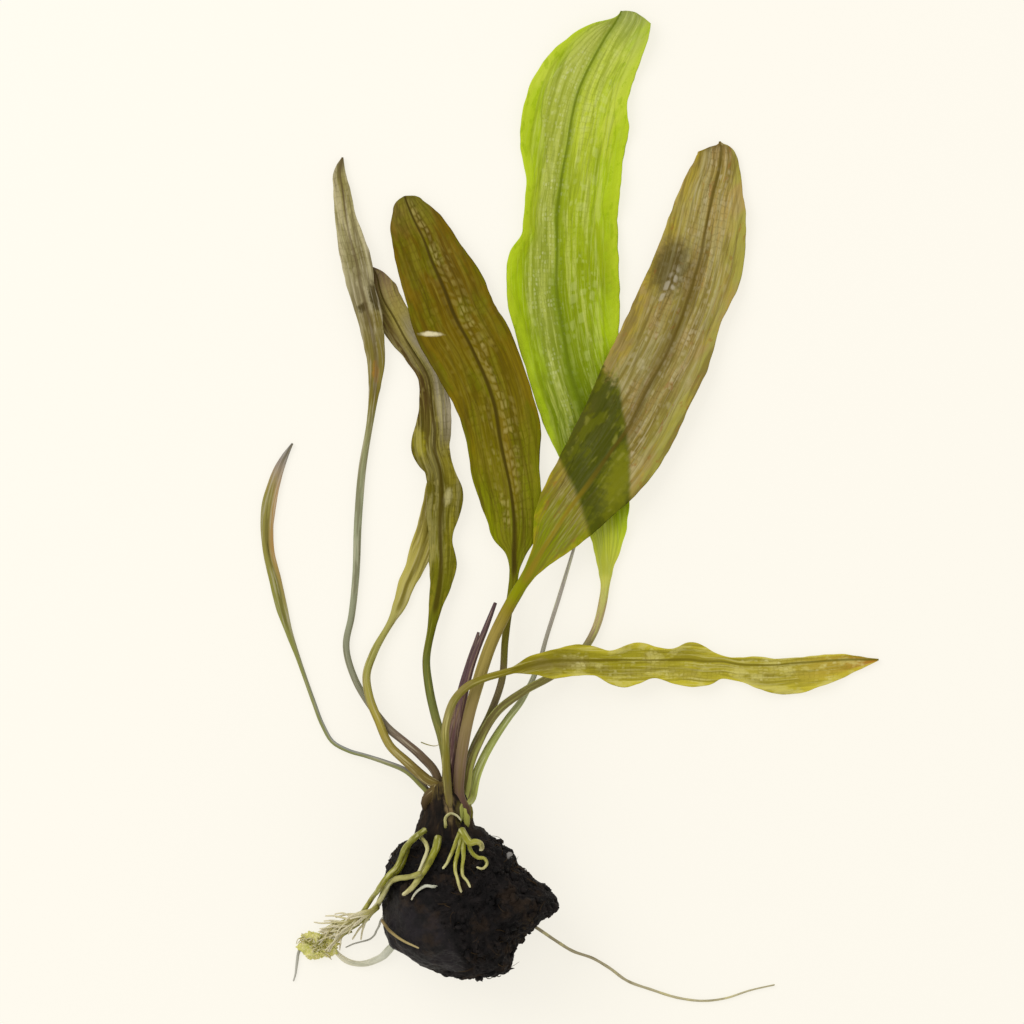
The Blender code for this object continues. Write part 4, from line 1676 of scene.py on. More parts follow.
# A dark mature blade: brown-olive tissue with pale cells in rows beside its midrib
DARK_BLADE = Finish(
    "dark mature leaf",
    ((0.0, "#241a13"), (0.05, "#5c473a"), (0.2, "#7d7262"), (0.42, "#7a6c34"),
     (0.48, "#6d6406"), (0.52, "#6a6e02"), (0.58, "#787a00"), (0.65, "#736c00"),
     (0.74, "#6c5e00"), (0.85, "#6a5600"), (0.95, "#664e00"), (1.0, "#7a6a3a")),
    (
        coat("#696c02", 0.6, (CLOUDS, 0.45, 0.58)),
        coat("#8a9202", 0.55, (ALONG, 0.7, 0.54), (EDGE, 0.3, 0.8)),
        coat("#826c08", 0.5, (EDGE, 0.55, 0.95), (CLOUDS, 0.55, 0.42), (ALONG, 0.6, 0.7)),
        # Painted shade where the blade lies over the twisted leaf
        coat("#4f3f06", 0.4, (OVERLAP_SHADE, 0.3, 0.9)),
        coat("#857a20", 0.4, (BANDS, 0.5, 0.6), (EDGE, 1.0, 0.6)),
        coat("#4c3d02", 0.45, (BANDS, 0.47, 0.36)),
        coat("#4c3d02", 0.35, (STREAKS, 0.48, 0.64)),
        coat("#8a7a2c", 0.35, (FINE_STREAKS, 0.52, 0.68), (EDGE, 0.95, 0.5), (ALONG, 0.5, 0.6)),
        coat("#7f6512", 0.45, (RIGHT, 0.5, 0.54), (RIGHT, 0.64, 0.58), (ALONG, 0.57, 0.62),
             (ALONG, 0.8, 0.7)),
        coat("#4a3c02", 0.3, (VEIN, 0.3, 0.95)),
        coat("#e6dcb4", 0.85, (Spot(-38.6, 48, 7.6, 1.6, 3), 1.6, 0.8)),
        coat("#9c8e4a", 0.3, (WINDOW, 0.1, 0.8), (EDGE, 0.56, 0.4), (RIGHT, 0.4, 0.55),
             (ALONG, 0.56, 0.62)),
        *net_coats((1.25, 1.9), "#57480c", "#aea062", 0.75, (RIGHT, 0.7, 0.64),
                   (RIGHT, 0.52, 0.55), (ALONG, 0.56, 0.62)),
        *net_coats((1.25, 1.9), "#473a02", "#948434", 0.3, (EDGE, 0.9, 0.6), (EDGE, 0.1, 0.2),
                   (ALONG, 0.54, 0.6)),
        *net_coats((1.15, 2.2), "#57480c", "#b8ab62", 0.75, (RIGHT, 0.2, 0.27),
                   (RIGHT, 0.47, 0.42), (ALONG, 0.55, 0.59), (ALONG, 0.74, 0.68)),
        coat("#3f3203", 0.85, (MIDRIB, 0.35, 0.95), (ALONG, 0.5, 0.53)),
    ),
    roughness=0.45, lit_through=0.08, bump=LEAF_GRAIN)

# A limp beige blade: streaked, with an orange fleck, and with dark patches of painted shade that
# stand for a fold
KHAKI_BLADE = Finish(
    "limp khaki leaf",
    ((0.0, "#2a1f16"), (0.015, "#4d3c28"), (0.03, "#65533c"), (0.1, "#6c5a4e"),
     (0.2, "#878870"), (0.4, "#9a9e7e"), (0.47, "#8c8c60"), (0.54, "#786c26"),
     (0.64, "#7d7132"), (0.74, "#99906a"), (0.84, "#aea678"), (0.95, "#aaa062"),
     (1.0, "#6b6250")),
    (
        coat("#6d6428", 0.6, (CLOUDS, 0.46, 0.6), (ALONG, 0.52, 0.6)),
        coat("#b5ad84", 0.4, (EDGE, 0.5, 1.0), (ALONG, 0.7, 0.78)),
        coat("#c0b58e", 0.5, (BANDS, 0.5, 0.6), (ALONG, 0.55, 0.65)),
        coat("#5b4f2a", 0.5, (BANDS, 0.46, 0.36), (ALONG, 0.5, 0.6)),
        # An olive patch and two dark ones stand for a fold in the blade; the dark ones are painted
        # shade
        coat("#6e601c", 0.7, (Spot(-54.6, 52, 7.5, 7.5, -30), 1.5, 0.7)),
        coat("#3c320c", 0.92, (Spot(-54.4, 58.6, 4.8, 11, -14), 1.45, 0.85)),
        coat("#3c320c", 0.92, (Spot(-57.8, 55.4, 4.4, 3.2, -35), 1.5, 0.8)),
        coat("#594c2c", 0.45, (STREAKS, 0.48, 0.62)),
        coat("#c9bfa4", 0.4, (FINE_STREAKS, 0.52, 0.68)),
        coat("#a8742a", 0.65, (Spot(-54.2, 37.5, 2.4, 8, 0), 1.5, 0.8)),
        *net_coats((0.9, 2.0), "#4f4226", "#c4b998", 0.2, (ALONG, 0.6, 0.66)),
        coat("#5b4c2c", 0.6, (MIDRIB, 0.4, 1.0), (ALONG, 0.5, 0.53)),
    ),
    roughness=0.5, lit_through=0.1, bump=LEAF_GRAIN)

# A twisted olive blade with yellow bulges, grey towards its tip
OLIVE_BLADE = Finish(
    "twisted olive leaf",
    ((0.0, "#3a2c1e"), (0.06, "#6a5a3c"), (0.15, "#75703a"), (0.3, "#6a7038"),
     (0.42, "#63692a"), (0.5, "#66680a"), (0.6, "#6e6a0c"), (0.7, "#635a10"), (0.8, "#5c501c"),
     (0.87, "#857a48"), (0.93, "#9a8c44"), (0.97, "#8f7c50"), (1.0, "#5f4a44")),
    (
        coat("#928720", 0.5, (Grain(4, 1.6, True), 0.46, 0.6), (EDGE, 0.25, 0.7),
             (ALONG, 0.8, 0.72)),
        coat("#9d9416", 0.85, (Spot(-42, 17.5, 5, 13, -8), 1.4, 0.8)),
        coat("#bdb47e", 0.7, (Spot(-34, 2.5, 3.2, 6.5, 10), 1.5, 0.8)),
        coat("#a49a82", 0.85, (ALONG, 0.72, 0.8), (RIGHT, 0.62, 0.78), (ALONG, 0.94, 0.88)),
        coat("#4c3a18", 0.8, (ALONG, 0.7, 0.78), (RIGHT, 0.62, 0.5), (RIGHT, 0.3, 0.42),
             (ALONG, 0.9, 0.84)),
        coat("#4a3414", 0.85, (ALONG, 0.74, 0.82), (RIGHT, 0.4, 0.22)),
        coat("#a79e66", 0.4, (BANDS, 0.5, 0.6), (ALONG, 0.52, 0.6)),
        coat("#4b4402", 0.5, (STREAKS, 0.48, 0.62)),
        coat("#b5ab52", 0.3, (FINE_STREAKS, 0.52, 0.68)),
        *net_coats((0.9, 2.0), "#463c02", "#a89c58", 0.3, (ALONG, 0.55, 0.6)),
        coat("#433703", 0.8, (MIDRIB, 0.35, 0.95), (ALONG, 0.5, 0.53)),
    ),
    roughness=0.45, lit_through=0.1, bump=LEAF_GRAIN)

# A short old blade: dull olive, with pale streaks between its veins
SHORT_BLADE = Finish(
    "short olive leaf",
    ((0.0, "#2c2217"), (0.02, "#52422b"), (0.06, "#63522f"), (0.14, "#7a6a38"),
     (0.28, "#a0923e"), (0.4, "#9a984e"), (0.5, "#a39d58"), (0.6, "#b2a85a"), (0.75, "#a89c48"),
     (0.9, "#857a34"), (1.0, "#5f5620")),
    (
        coat("#6a5c1c", 0.6, (STREAKS, 0.48, 0.62)),
        coat("#c5b986", 0.5, (FINE_STREAKS, 0.5, 0.66)),
        coat("#b3a850", 0.5, (EDGE, 0.5, 1.0)),
        coat("#6c6118", 0.7, (MIDRIB, 0.3, 0.9), (ALONG, 0.5, 0.53)),
    ),
    roughness=0.45, lit_through=0.1, bump=LEAF_GRAIN)

# A ruffled yellow blade that turns orange at its tip
YELLOW_BLADE = Finish(
    "ruffled yellow leaf",
    ((0.0, "#6a5a36"), (0.2, "#7d7a3a"), (0.42, "#83792c"), (0.5, "#877c1c"), (0.56, "#8f8516"),
     (0.66, "#a39a24"), (0.76, "#b3a832"), (0.88, "#b0a43a"), (0.95, "#b59c36"),
     (1.0, "#b0742a")),
    (
        coat("#d0c43c", 0.7, (EDGE, 0.5, 0.9), (ALONG, 0.53, 0.58)),
        coat("#9a8b5e", 0.6, (CLOUDS, 0.5, 0.66), (EDGE, 0.8, 0.3)),
        coat("#7c7014", 0.55, (STREAKS, 0.48, 0.64)),
        coat("#ded68a", 0.45, (FINE_STREAKS, 0.52, 0.68)),
        coat("#d8cf7c", 0.5, (PATCHES, 0.5, 0.62), (ALONG, 0.56, 0.62)),
        coat("#7f7420", 0.4, (BANDS, 0.47, 0.36), (EDGE, 1.0, 0.7)),
        *net_coats((0.9, 1.5), "#6b5f14", "#e0d99a", 0.3, (ALONG, 0.56, 0.62),
                   (EDGE, 0.95, 0.7)),
        coat("#6f6412", 0.8, (MIDRIB, 0.45, 1.0), (ALONG, 0.5, 0.53)),
    ),
    roughness=0.42, lit_through=0.15, bump=LEAF_GRAIN)

# A narrow blade gone brown in the middle and grey at its tip
BROWN_BLADE = Finish(
    "narrow brown leaf",
    ((0.0, "#2a211a"), (0.06, "#6a5f50"), (0.12, "#85827c"), (0.3, "#858b8a"),
     (0.47, "#8f8f70"), (0.6, "#918b50"), (0.75, "#a5834c"), (0.88, "#a88556"),
     (0.96, "#8c847c"), (1.0, "#6c6a68")),
    (
        coat("#83863c", 0.75, (RIGHT, 0.85, 0.5), (ALONG, 0.95, 0.86)),
        coat("#c0b8a4", 0.4, (FINE_STREAKS, 0.5, 0.66)),
        coat("#5e5426", 0.6, (MIDRIB, 0.2, 0.8), (STREAKS, 0.4, 0.6)),
    ),
    roughness=0.5, lit_through=0.1, bump=LEAF_GRAIN)

# A bare stalk: smooth and wet, yellow-green at its foot and greyer higher up
PALE_STALK = Finish(
    "pale green stalk",
    ((0.0, "#8a8a40"), (0.05, "#a5aa54"), (0.1, "#b0b860"), (0.2, "#9aa258"), (0.3, "#9a9a84"),
     (0.38, "#a39c90"), (0.5, "#aba59c")),
    (coat("#77743c", 0.6, (STREAKS, 0.5, 0.62), (ALONG, 0.25, 0.18)),
     coat("#dfe2b0", 0.5, (FINE_STREAKS, 0.52, 0.66))),
    roughness=0.4, bump=(Grain(0.4, 8, True), 0.05))
# Old stubs of stalks: withered, dull and purple-brown, with pale streaks
PURPLE_STALK = Finish(
    "withered purple stalk",
    ((0.0, "#4e372e"), (0.2, "#5c4242"), (0.5, "#574648")),
    (coat("#a08a74", 0.7, (FINE_STREAKS, 0.52, 0.64)),
     coat("#2f2226", 0.6, (STREAKS, 0.5, 0.62)),
     coat("#8a7a3c", 0.5, (Grain(1.6, 9, True, seed=9), 0.55, 0.68))),
    roughness=0.5, bump=(Grain(0.4, 8, True), 0.06))

# Fresh roots: smooth, shiny with water, olive near the plant and pale at their tips
GREEN_ROOT = Finish(
    "fresh green root",
    ((0.0, "#7a7a26"), (0.3, "#8d8d1e"), (0.6, "#a3a042"), (0.9, "#c2bb80"), (1.0, "#d3cda2")),
    (coat("#cfcc8e", 0.6, (Grain(0.7, 6, True), 0.5, 0.64)),
     coat("#4f4a12", 0.6, (Grain(1.6, 2, True, seed=4), 0.52, 0.68)),
     coat("#8c7a50", 0.5, (Grain(3, 2, True, seed=7), 0.52, 0.64))),
    roughness=0.4, gloss=0.3, lit_through=0.15, bump=(Grain(0.5, 4, True), 0.05))
# Older roots: as smooth and wet, yellowish and paling to cream
PALE_ROOT = Finish(
    "pale root",
    ((0.0, "#a09c4e"), (0.4, "#c3be80"), (1.0, "#d6d1ac")),
    (coat("#86824a", 0.6, (Grain(1.4, 3, True), 0.5, 0.66)),
     coat("#dcd8b4", 0.5, (Grain(0.6, 6, True, seed=3), 0.52, 0.66))),
    roughness=0.4, gloss=0.3, lit_through=0.2, bump=(Grain(0.5, 4, True), 0.05))
# Glassy roots: white, shiny and so clear that light comes through
GLASSY_ROOT = Finish(
    "glassy white root",
    ((0.0, "#c3c5ae"), (0.4, "#dedecf"), (1.0, "#e2dcc0")),
    (coat("#bcbda6", 0.6, (Grain(1.2, 5, True), 0.5, 0.66)),),
    roughness=0.35, gloss=0.4, lit_through=0.35, bump=(Grain(0.5, 4, True), 0.04))
# A dry root: dull tan with brown marks
TAN_ROOT = Finish(
    "dry tan root",
    ((0.0, "#7d6b48"), (0.6, "#978659"), (1.0, "#a8996e")),
    (coat("#5f5030", 0.6, (Grain(1.5, 3, True), 0.52, 0.66)),),
    roughness=0.6, bump=(Grain(0.4, 2, True), 0.06))
# A long dry root: faded and dull, its empty skin a little lit through
FADED_ROOT = Finish(
    "faded dry root",
    ((0.0, "#a0977c"), (0.3, "#b0a788"), (0.7, "#c4bc98"), (1.0, "#cdc6a4")),
    (coat("#8c8264", 0.6, (Grain(1.5, 3, True), 0.5, 0.66)),
     coat("#d8cf96", 0.6, (Grain(2.2, 2, True, seed=5), 0.56, 0.68))),
    roughness=0.6, lit_through=0.2, bump=(Grain(0.4, 2, True), 0.06))
# Dry hair-thin roots: dull grey
GREY_ROOT = Finish(
    "dry grey root",
    ((0.0, "#a09e90"), (1.0, "#adaba2")),
    (coat("#85837a", 0.5, (Grain(1.5, 3, True), 0.52, 0.66)),),
    roughness=0.6, bump=(Grain(0.4, 2, True), 0.04))

# Hair roots: pale, so thin that light comes through
HAIR_ROOT = Finish(
    "hair root",
    ((0.0, "#949040"), (0.3, "#bdb670"), (0.6, "#dfd8b0"), (1.0, "#e8e1c8")),
    (coat("#b3a66e", 0.5, (Grain(1.4, 3, True), 0.52, 0.66)),),
    roughness=0.5, lit_through=0.35, bump=(Grain(0.4, 3, True), 0.04))

# Root ends matted into a soft lump that light comes through
MATTED_ROOT = Finish(
    "matted pale roots",
    ((0.3, "#d2d06e"), (0.5, "#e0dc8a"), (0.7, "#ece6ae")),
    (coat("#c3c660", 0.6, (Grain(2.4, seed=2), 0.5, 0.64)),
     coat("#f0e4bc", 0.6, (Grain(0.5, 4, seed=6), 0.52, 0.64))),
    by=Grain(1.2), roughness=0.55, lit_through=0.3, bump=(Grain(0.3, 3), 0.15))

# The tuber's skin: brown-black and fibrous
TUBER_SKIN = Finish(
    "fibrous tuber skin",
    ((0.35, "#0d0906"), (0.5, "#1b130c"), (0.68, "#2f2216")),
    (
        coat("#4a3a1c", 0.5, (Grain(0.8, 10, True, seed=2), 0.58, 0.7)),
        coat("#62522a", 0.9, (Spot(-38.5, -77.6, 15, 10, -10), 1.35, 0.75),
             (Grain(0.9, 8, True, seed=7), 0.3, 0.55)),
        coat("#85714a", 0.8, (Spot(-33.3, -82.4, 3.6, 14, -4), 1.4, 0.7),
             (Grain(0.7, 9, True, seed=9), 0.32, 0.56)),
        coat("#6c6224", 0.7, (Spot(-30.6, -84.5, 3.4, 9, 0), 1.4, 0.7),
             (Grain(0.7, 9, True, seed=11), 0.36, 0.6)),
    ),
    by=Grain(2.2, 3, True), roughness=0.75, gloss=0.12, bump=(Grain(0.35, 6, True), 0.12))

# Wet peat: near black, crumbly, browner here and there, with a dull shine where pressed
WET_SOIL = Finish(
    "wet peat soil",
    ((0.3, "#080707"), (0.5, "#120f0f"), (0.7, "#1f1a19")),
    (
        coat("#2b2016", 0.7, (Grain(7), 0.54, 0.66)),
        coat("#241e24", 0.4, (PRESSED, 0.3, 1.0), (Grain(9, seed=3), 0.4, 0.6)),
        coat("#3f3320", 0.45, (Spot(-12, -116, 7, 16, 25), 1.4, 0.7),
             (Grain(1.6, seed=4), 0.48, 0.6)),
        coat("#453a2c", 0.6, (Grain(0.7, seed=8), 0.66, 0.74)),
        coat("#9a9794", 0.85, (Spot(-16.5, -95.9, 3.4, 2.6, z=28, depth=8), 1.3, 0.9)),
    ),
    by=Grain(2.6), roughness=0.8, gloss=0.14, bump=(Grain(0.3), 0.22),
    polish=(Mask(PRESSED, 0.2, 0.9), 0.55))
# Fibres of peat: dull dark brown threads
PEAT_FIBRE = Finish(
    "peat fibre",
    ((0.0, "#231a11"), (0.5, "#362a1a"), (1.0, "#46392a")), roughness=0.7)

LEAVES = (
    LaceLeaf(
        "leaf_tall_green", "leaf_green", GREEN_BLADE, ruffle=1.5, wave=24, cup=0.6, frill=0.28,
        bow=0.9, hold=6.4, lean=0.62,
        net=Venation(6, (2.2, 4.2), pale=0.3, depth=0.22, seed=3),
        stalk=(
            (-29, -80.5, 20.5, 1.2), (-28, -73, 20, 1.2), (-25.5, -66, 15, 1.2),
            (-20, -57, 9.5, 1.2), (-12.5, -51.5, 6, 1.1), (-5, -47.5, 3.6, 1.1),
            (2, -42.5, 1.9, 1.1), (7, -35, 1.4, 1.1), (9.3, -27, 1.4, 1.2), (10, -22, 1.4, 1.3)),
        blade=(
            (10, -18, 1.4, 2, 2.25), (9.7, -10, 1.2, 3.5, 5.5), (9, -2.5, 1.2, 4.75, 7.5),
            (8, 6, 1.1, 6.75, 8.75), (6.5, 14, 1.1, 9, 10), (4, 25.5, 1.1, 11.5, 10.75),
            (0.5, 37, 1, 11.75, 13.25), (-2, 49, 1, 13, 16.2), (-3.5, 60.5, 1, 14.1, 17.6),
            (-3.5, 71.5, 1, 13, 17.1), (-3.5, 76.5, 1, 9.8, 17), (-3.5, 81, 1, 9.4, 16.9),
            (-2.5, 89.5, 1, 9.75, 16.8), (-1, 99.5, 1, 13, 16.2), (0.5, 108, 1, 13.75, 16.4),
            (3, 117, 1.2, 13, 14), (7, 126, 1.6, 9.25, 12.8), (10.2, 131.3, 2, 5.8, 11.8),
            (12.2, 134.2, 2.1, 2.9, 10.9), (13.4, 136.1, 2.2, 0.9, 10.2),
            (14.1, 137.3, 2.2, 0.4, 9.4), (14.4, 138, 2.2, 0.3, 8.6),
            (14.5, 138.3, 2.2, 0.25, 7))),
    LaceLeaf(
        "leaf_brown_right", "leaf_tan_olive", TAN_BLADE, ruffle=1.3, wave=26, cup=0.4,
        net=Venation(6, (2.0, 4.0), pale=0.4, depth=0.22, seed=7), over=("leaf_tall_green",),
        hold=6.6,
        stalk=(
            (-30.5, -80.5, 24, 1.6), (-30.5, -73, 24, 1.6), (-29.5, -65.5, 23, 1.6),
            (-28, -58, 21, 1.6), (-25.5, -49, 18.5, 1.7), (-22, -38.5, 15.5, 1.7),
            (-18.5, -31, 12.5, 1.7), (-15.5, -25.5, 11, 1.7)),
        blade=(
            (-11.5, -19, 9.3, 1.8, 2), (-8, -13, 8.3, 3, 4.75), (-3.5, -6, 7.3, 7.5, 8),
            (1, 0.5, 6.6, 9.6, 10), (6.5, 8, 6, 11, 12), (11.5, 15, 5.4, 12.3, 13.25),
            (17, 23.5, 5, 13.4, 13.25), (22, 33, 4.6, 14.2, 12.5), (27.5, 43.5, 4, 14.4, 12.25),
            (32, 54.5, 3, 14, 10.9), (35.5, 66, 2.2, 12.5, 12.6), (38, 77, 1.6, 11, 11.5),
            (40, 87, 1.2, 9.25, 9.1), (42, 94.5, 1, 7.6, 5.9), (42.4, 98, 0.9, 6.8, 4.4),
            (42.4, 99.6, 0.9, 6.1, 3.3), (42.3, 100.6, 0.9, 3.6, 2),
            (42.2, 101.2, 0.8, 1.0, 0.8), (42, 102, 0.8, 0.25, 0.25))),
    LaceLeaf(
        "leaf_brown_left", "leaf_dark_olive", DARK_BLADE, ruffle=1.0, wave=22, cup=0.3,
        net=Venation(5, (2.0, 3.6), pale=0.5, depth=0.2, seed=12), over=("leaf_twisted",),
        hold=6.4, lean=0.5,
        stalk=(
            (-30.3, -80.5, 16.2, 1.1), (-29, -74, 13.8, 1.1), (-27, -67.5, 10, 1),
            (-22, -57.5, 6.6, 1), (-19, -49, 5.2, 1), (-18, -37.5, 4.2, 1),
            (-17, -29, 3.6, 1.1), (-16, -23, 3.3, 1.2)),
        blade=(
            (-15.5, -18, 3.1, 1.4, 1.6), (-15.5, -13.3, 2.9, 2.4, 3.5),
            (-15.5, -9.5, 2.8, 5.7, 6), (-15.5, -4, 2.7, 7.6, 7.4), (-16, 1.5, 2.6, 8.8, 8.2),
            (-17.5, 10, 2.7, 10, 9.2), (-19.5, 19.5, 3, 9.5, 11.75),
            (-21.5, 29.5, 3.3, 10.5, 11.25), (-24.5, 38.5, 3.6, 12, 11.25),
            (-27.5, 44.5, 3.8, 12.25, 11.75), (-31, 50.5, 3.8, 12.25, 11.5),
            (-35, 60.5, 3.4, 11.25, 11.25), (-38.5, 68.5, 2.6, 10, 9.5), (-41, 75, 2, 9, 8),
            (-43.5, 80, 1.6, 7.2, 6.5), (-45, 83.5, 1.3, 4.9, 4.6),
            (-45.7, 85.3, 1.2, 3.4, 3.4), (-46, 86.3, 1.1, 1.6, 1.8),
            (-46.1, 86.7, 1.1, 0.25, 0.25))),
    LaceLeaf(
        "leaf_khaki_upper", "leaf_khaki", KHAKI_BLADE, ruffle=0.5, wave=16, cup=0.5,
        hold=6.4, lean=0.2,
        net=Venation(2, (1.8, 3.2), pale=0.3, depth=0.15, seed=21), over=("leaf_twisted",),
        stalk=(
            (-36.4, -76.6, 19, 1.2), (-37.1, -74.1, 17.5, 1.2), (-41.2, -69.4, 14.5, 1.2),
            (-46, -65.5, 10.5, 1.1), (-50.9, -61.7, 6, 1.1), (-53.5, -58.6, 3.6, 1),
            (-55.8, -55.6, 2.2, 1), (-60, -48.5, 1.2, 0.95), (-62.5, -39, 1.2, 0.95),
            (-61, -31, 1.2, 0.95), (-59.8, -20, 1.2, 1), (-59.2, -5, 1.3, 1.1),
            (-58, 10, 1.3, 1.1), (-55.7, 24, 1.4, 1)),
        blade=(
            (-54.5, 33, 1.8, 1.6, 1.6), (-54, 40, 2.4, 2.5, 2.5), (-55, 47.5, 3.2, 3, 3.25),
            (-56.5, 54.5, 3.7, 3.4, 4), (-58, 60.5, 3.9, 3.75, 3.75),
            (-59.5, 68, 3.7, 4.25, 4.25), (-61, 74, 3, 3.75, 3.75), (-62.5, 81, 2.4, 3, 2.75),
            (-63.5, 88, 1.8, 2.5, 2.25), (-64.3, 93, 1.4, 1.75, 1.75),
            (-63.5, 97.5, 1, 0.25, 0.25))),
    LaceLeaf(
        "leaf_twisted", "leaf_olive", OLIVE_BLADE, ruffle=0.6, wave=14, cup=0.3,
        net=Venation(2, (1.8, 3.0), pale=0.35, depth=0.18, seed=31),
        stalk=(
            (-34, -80.5, 22.5, 1.2), (-34.2, -71.5, 21.5, 1.2), (-35.5, -64.5, 17, 1.2),
            (-37.5, -58, 12, 1.2), (-39.3, -50, 7.2, 1.2), (-40, -43.5, 4.8, 1.1),
            (-38.5, -34, 3.6, 1.2)),
        blade=(
            (-37.5, -28, 3.4, 1.75, 2), (-36.5, -22, 3.2, 2.5, 3.5), (-36, -16, 3.1, 3.25, 4.5),
            (-36, -9.5, 3, 3.25, 3.25), (-36, -2.5, 3, 4, 5.25), (-35.5, 4, 3, 4.25, 5.75),
            (-36, 10, 2.7, 4.5, 3.75), (-38, 16.5, 2.2, 6.25, 4.5), (-38, 22.5, 1.6, 5, 5),
            (-38.5, 29.5, 1.2, 3.5, 5), (-39.5, 36, 1, 3, 4.5), (-43, 42.5, 0.9, 3.25, 4.25),
            (-46.5, 48, 0.9, 4.3, 4.25), (-49.5, 53, 0.8, 4.2, 4.75), (-52, 57.5, 0.8, 3.4, 5),
            (-53.2, 61.2, 0.7, 2.5, 4.5), (-54, 64.5, 0.7, 1.5, 2.3),
            (-55.2, 66.8, 0.7, 0.25, 0.25))),
    LaceLeaf(
        "leaf_short_behind", "leaf_olive", SHORT_BLADE, ruffle=0.2, wave=14, hold=6.4,
        net=Venation(1, (1.8, 3.0), pale=0.2, depth=0.12, seed=41),
        stalk=(
            (-36.6, -77.6, 22.2, 1.4), (-39.8, -75.4, 19.4, 1.4), (-45.3, -70.8, 15, 1.3),
            (-50, -66.6, 11, 1.2), (-53.4, -59.5, 7.2, 1.2), (-55.9, -53.2, 5.4, 1.2),
            (-56.7, -47.2, 4, 1.15), (-54.8, -41.2, 2.4, 1.1), (-49.6, -31.8, 1.4, 1.1)),
        blade=(
            (-47.5, -27.5, 1.3, 1.9, 1.9), (-45.5, -22, 1.1, 2.5, 2.25),
            (-43.5, -17.5, 0.9, 2.6, 2.75), (-41.5, -12.5, 0.8, 3.25, 3.25),
            (-39.5, -6, 0.7, 3, 3.25), (-38.5, 1, 0.7, 2.5, 3), (-37.5, 7, 0.7, 2.1, 2.6),
            (-36, 14, 0.6, 0.25, 0.25))),
    LaceLeaf(
        "leaf_wavy_side", "leaf_yellow_olive", YELLOW_BLADE, ruffle=1.6, wave=17, cup=0.3,
        net=Venation(3, (1.8, 3.2), pale=0.35, depth=0.2, seed=51),
        stalk=(
            (-33.5, -80.5, 26.3, 1.1), (-34.2, -70, 26.6, 1.1), (-34, -59, 25.6, 1.1),
            (-32, -53.5, 24.8, 1.1), (-28.5, -49.8, 23.8, 1.1), (-23.5, -47.5, 22.2, 1),
            (-20, -46.5, 20.6, 1)),
        blade=(
            (-16, -45.5, 18.2, 1, 1), (-11, -44, 15.2, 2.25, 3), (-5.5, -43, 12.4, 3, 5),
            (1.5, -43, 9.8, 4.5, 4.25), (6.5, -43, 8.1, 4, 4.25), (11.5, -43, 6.6, 2.75, 6.75),
            (15, -43, 5.8, 4, 7.5), (19, -43, 5, 5, 6.5), (24, -43, 4.1, 3.75, 5),
            (28.5, -43, 3.4, 3.25, 6.5), (33.5, -43, 2.8, 5, 7.5), (38, -43.5, 2.3, 4, 6.75),
            (42.5, -43.5, 1.9, 1.75, 5), (47.5, -44.3, 1.5, 2, 4.75),
            (52.5, -44.5, 1.2, 2.5, 6.5), (57.5, -44.5, 1, 1.75, 8), (62.5, -44, 0.9, 1.5, 8.5),
            (69.5, -43.5, 0.9, 1.75, 7), (77, -43, 0.8, 1.5, 4.75),
            (82.5, -43, 0.8, 0.75, 2.25), (86.5, -43, 0.7, 0.25, 0.25))),
    LaceLeaf(
        "leaf_narrow_left", "leaf_brown", BROWN_BLADE, ruffle=0.3, wave=18, cup=0.2, frill=0.05,
        net=Venation(1, (2.0, 3.0), pale=0.1, depth=0.06, seed=61),
        stalk=(
            (-39, -80.5, 16.5, 0.9), (-42, -76.5, 13, 0.9), (-45.5, -73.7, 9.8, 0.8),
            (-51, -71.6, 6, 0.7), (-57, -69.8, 3, 0.6), (-62, -68.4, 1.5, 0.6),
            (-66.3, -66, 0.8, 0.6), (-69, -61.5, 0.7, 0.6), (-71.7, -54.5, 0.7, 0.6),
            (-74.2, -47.5, 0.7, 0.6), (-76.3, -41.5, 0.7, 0.7)),
        blade=(
            (-78.4, -35.5, 0.8, 1, 1), (-80.5, -28.5, 0.8, 1.6, 1.6),
            (-82.5, -20, 0.8, 1.7, 1.7), (-84.2, -12.5, 0.8, 1.6, 1.6),
            (-84.6, -5.5, 0.8, 1.8, 1.8), (-84.1, 0, 0.8, 2, 2), (-83, 5, 0.8, 1.75, 1.75),
            (-81.2, 10.5, 0.8, 1.4, 1.4), (-79, 15, 0.7, 0.75, 0.75),
            (-77.5, 17.5, 0.7, 0.25, 0.25))),
    LaceLeaf(
        "stalk_bare", "stalk_grey_green", PALE_STALK, hold=8.0, lean=0.56,
        stalk=(
            (-27.2, -80.5, 16.6, 1.3), (-26.2, -75.5, 15.4, 1.3), (-24, -70, 12.3, 1.2),
            (-20.5, -64, 8.8, 1.1), (-17, -59, 5.6, 1), (-13.5, -54.5, 3, 0.9),
            (-11, -50, 1.5, 0.8), (-8.5, -44, 0.8, 0.7), (-6.5, -37, 0.7, 0.6),
            (-3.2, -26.5, 0.7, 0.6), (0, -16, 0.7, 0.5), (1.5, -11, 0.6, 0.4))),
    LaceLeaf(
        "stub_long", "stalk_purple", PURPLE_STALK,
        stalk=(
            (-32.4, -80.5, 20.4, 1.3), (-32.2, -73, 20.6, 1.5), (-31.4, -65.5, 19.4, 1.5),
            (-30.5, -58, 17.6, 1.3), (-28.9, -50, 15.4, 1.1), (-26.6, -42, 13, 0.95),
            (-23.4, -34, 10.6, 0.8), (-20.7, -27, 8.6, 0.5))),
    LaceLeaf(
        "stub_short", "stalk_purple", PURPLE_STALK,
        stalk=(
            (-33.9, -80.5, 19.3, 1.1), (-33.5, -73, 19.2, 1.2), (-32.9, -65.5, 18, 1.2),
            (-31.8, -59, 16, 1.1), (-30.2, -51, 13.6, 0.95), (-28, -43.5, 11.4, 0.8),
            (-25.4, -35.2, 9, 0.4))),
)

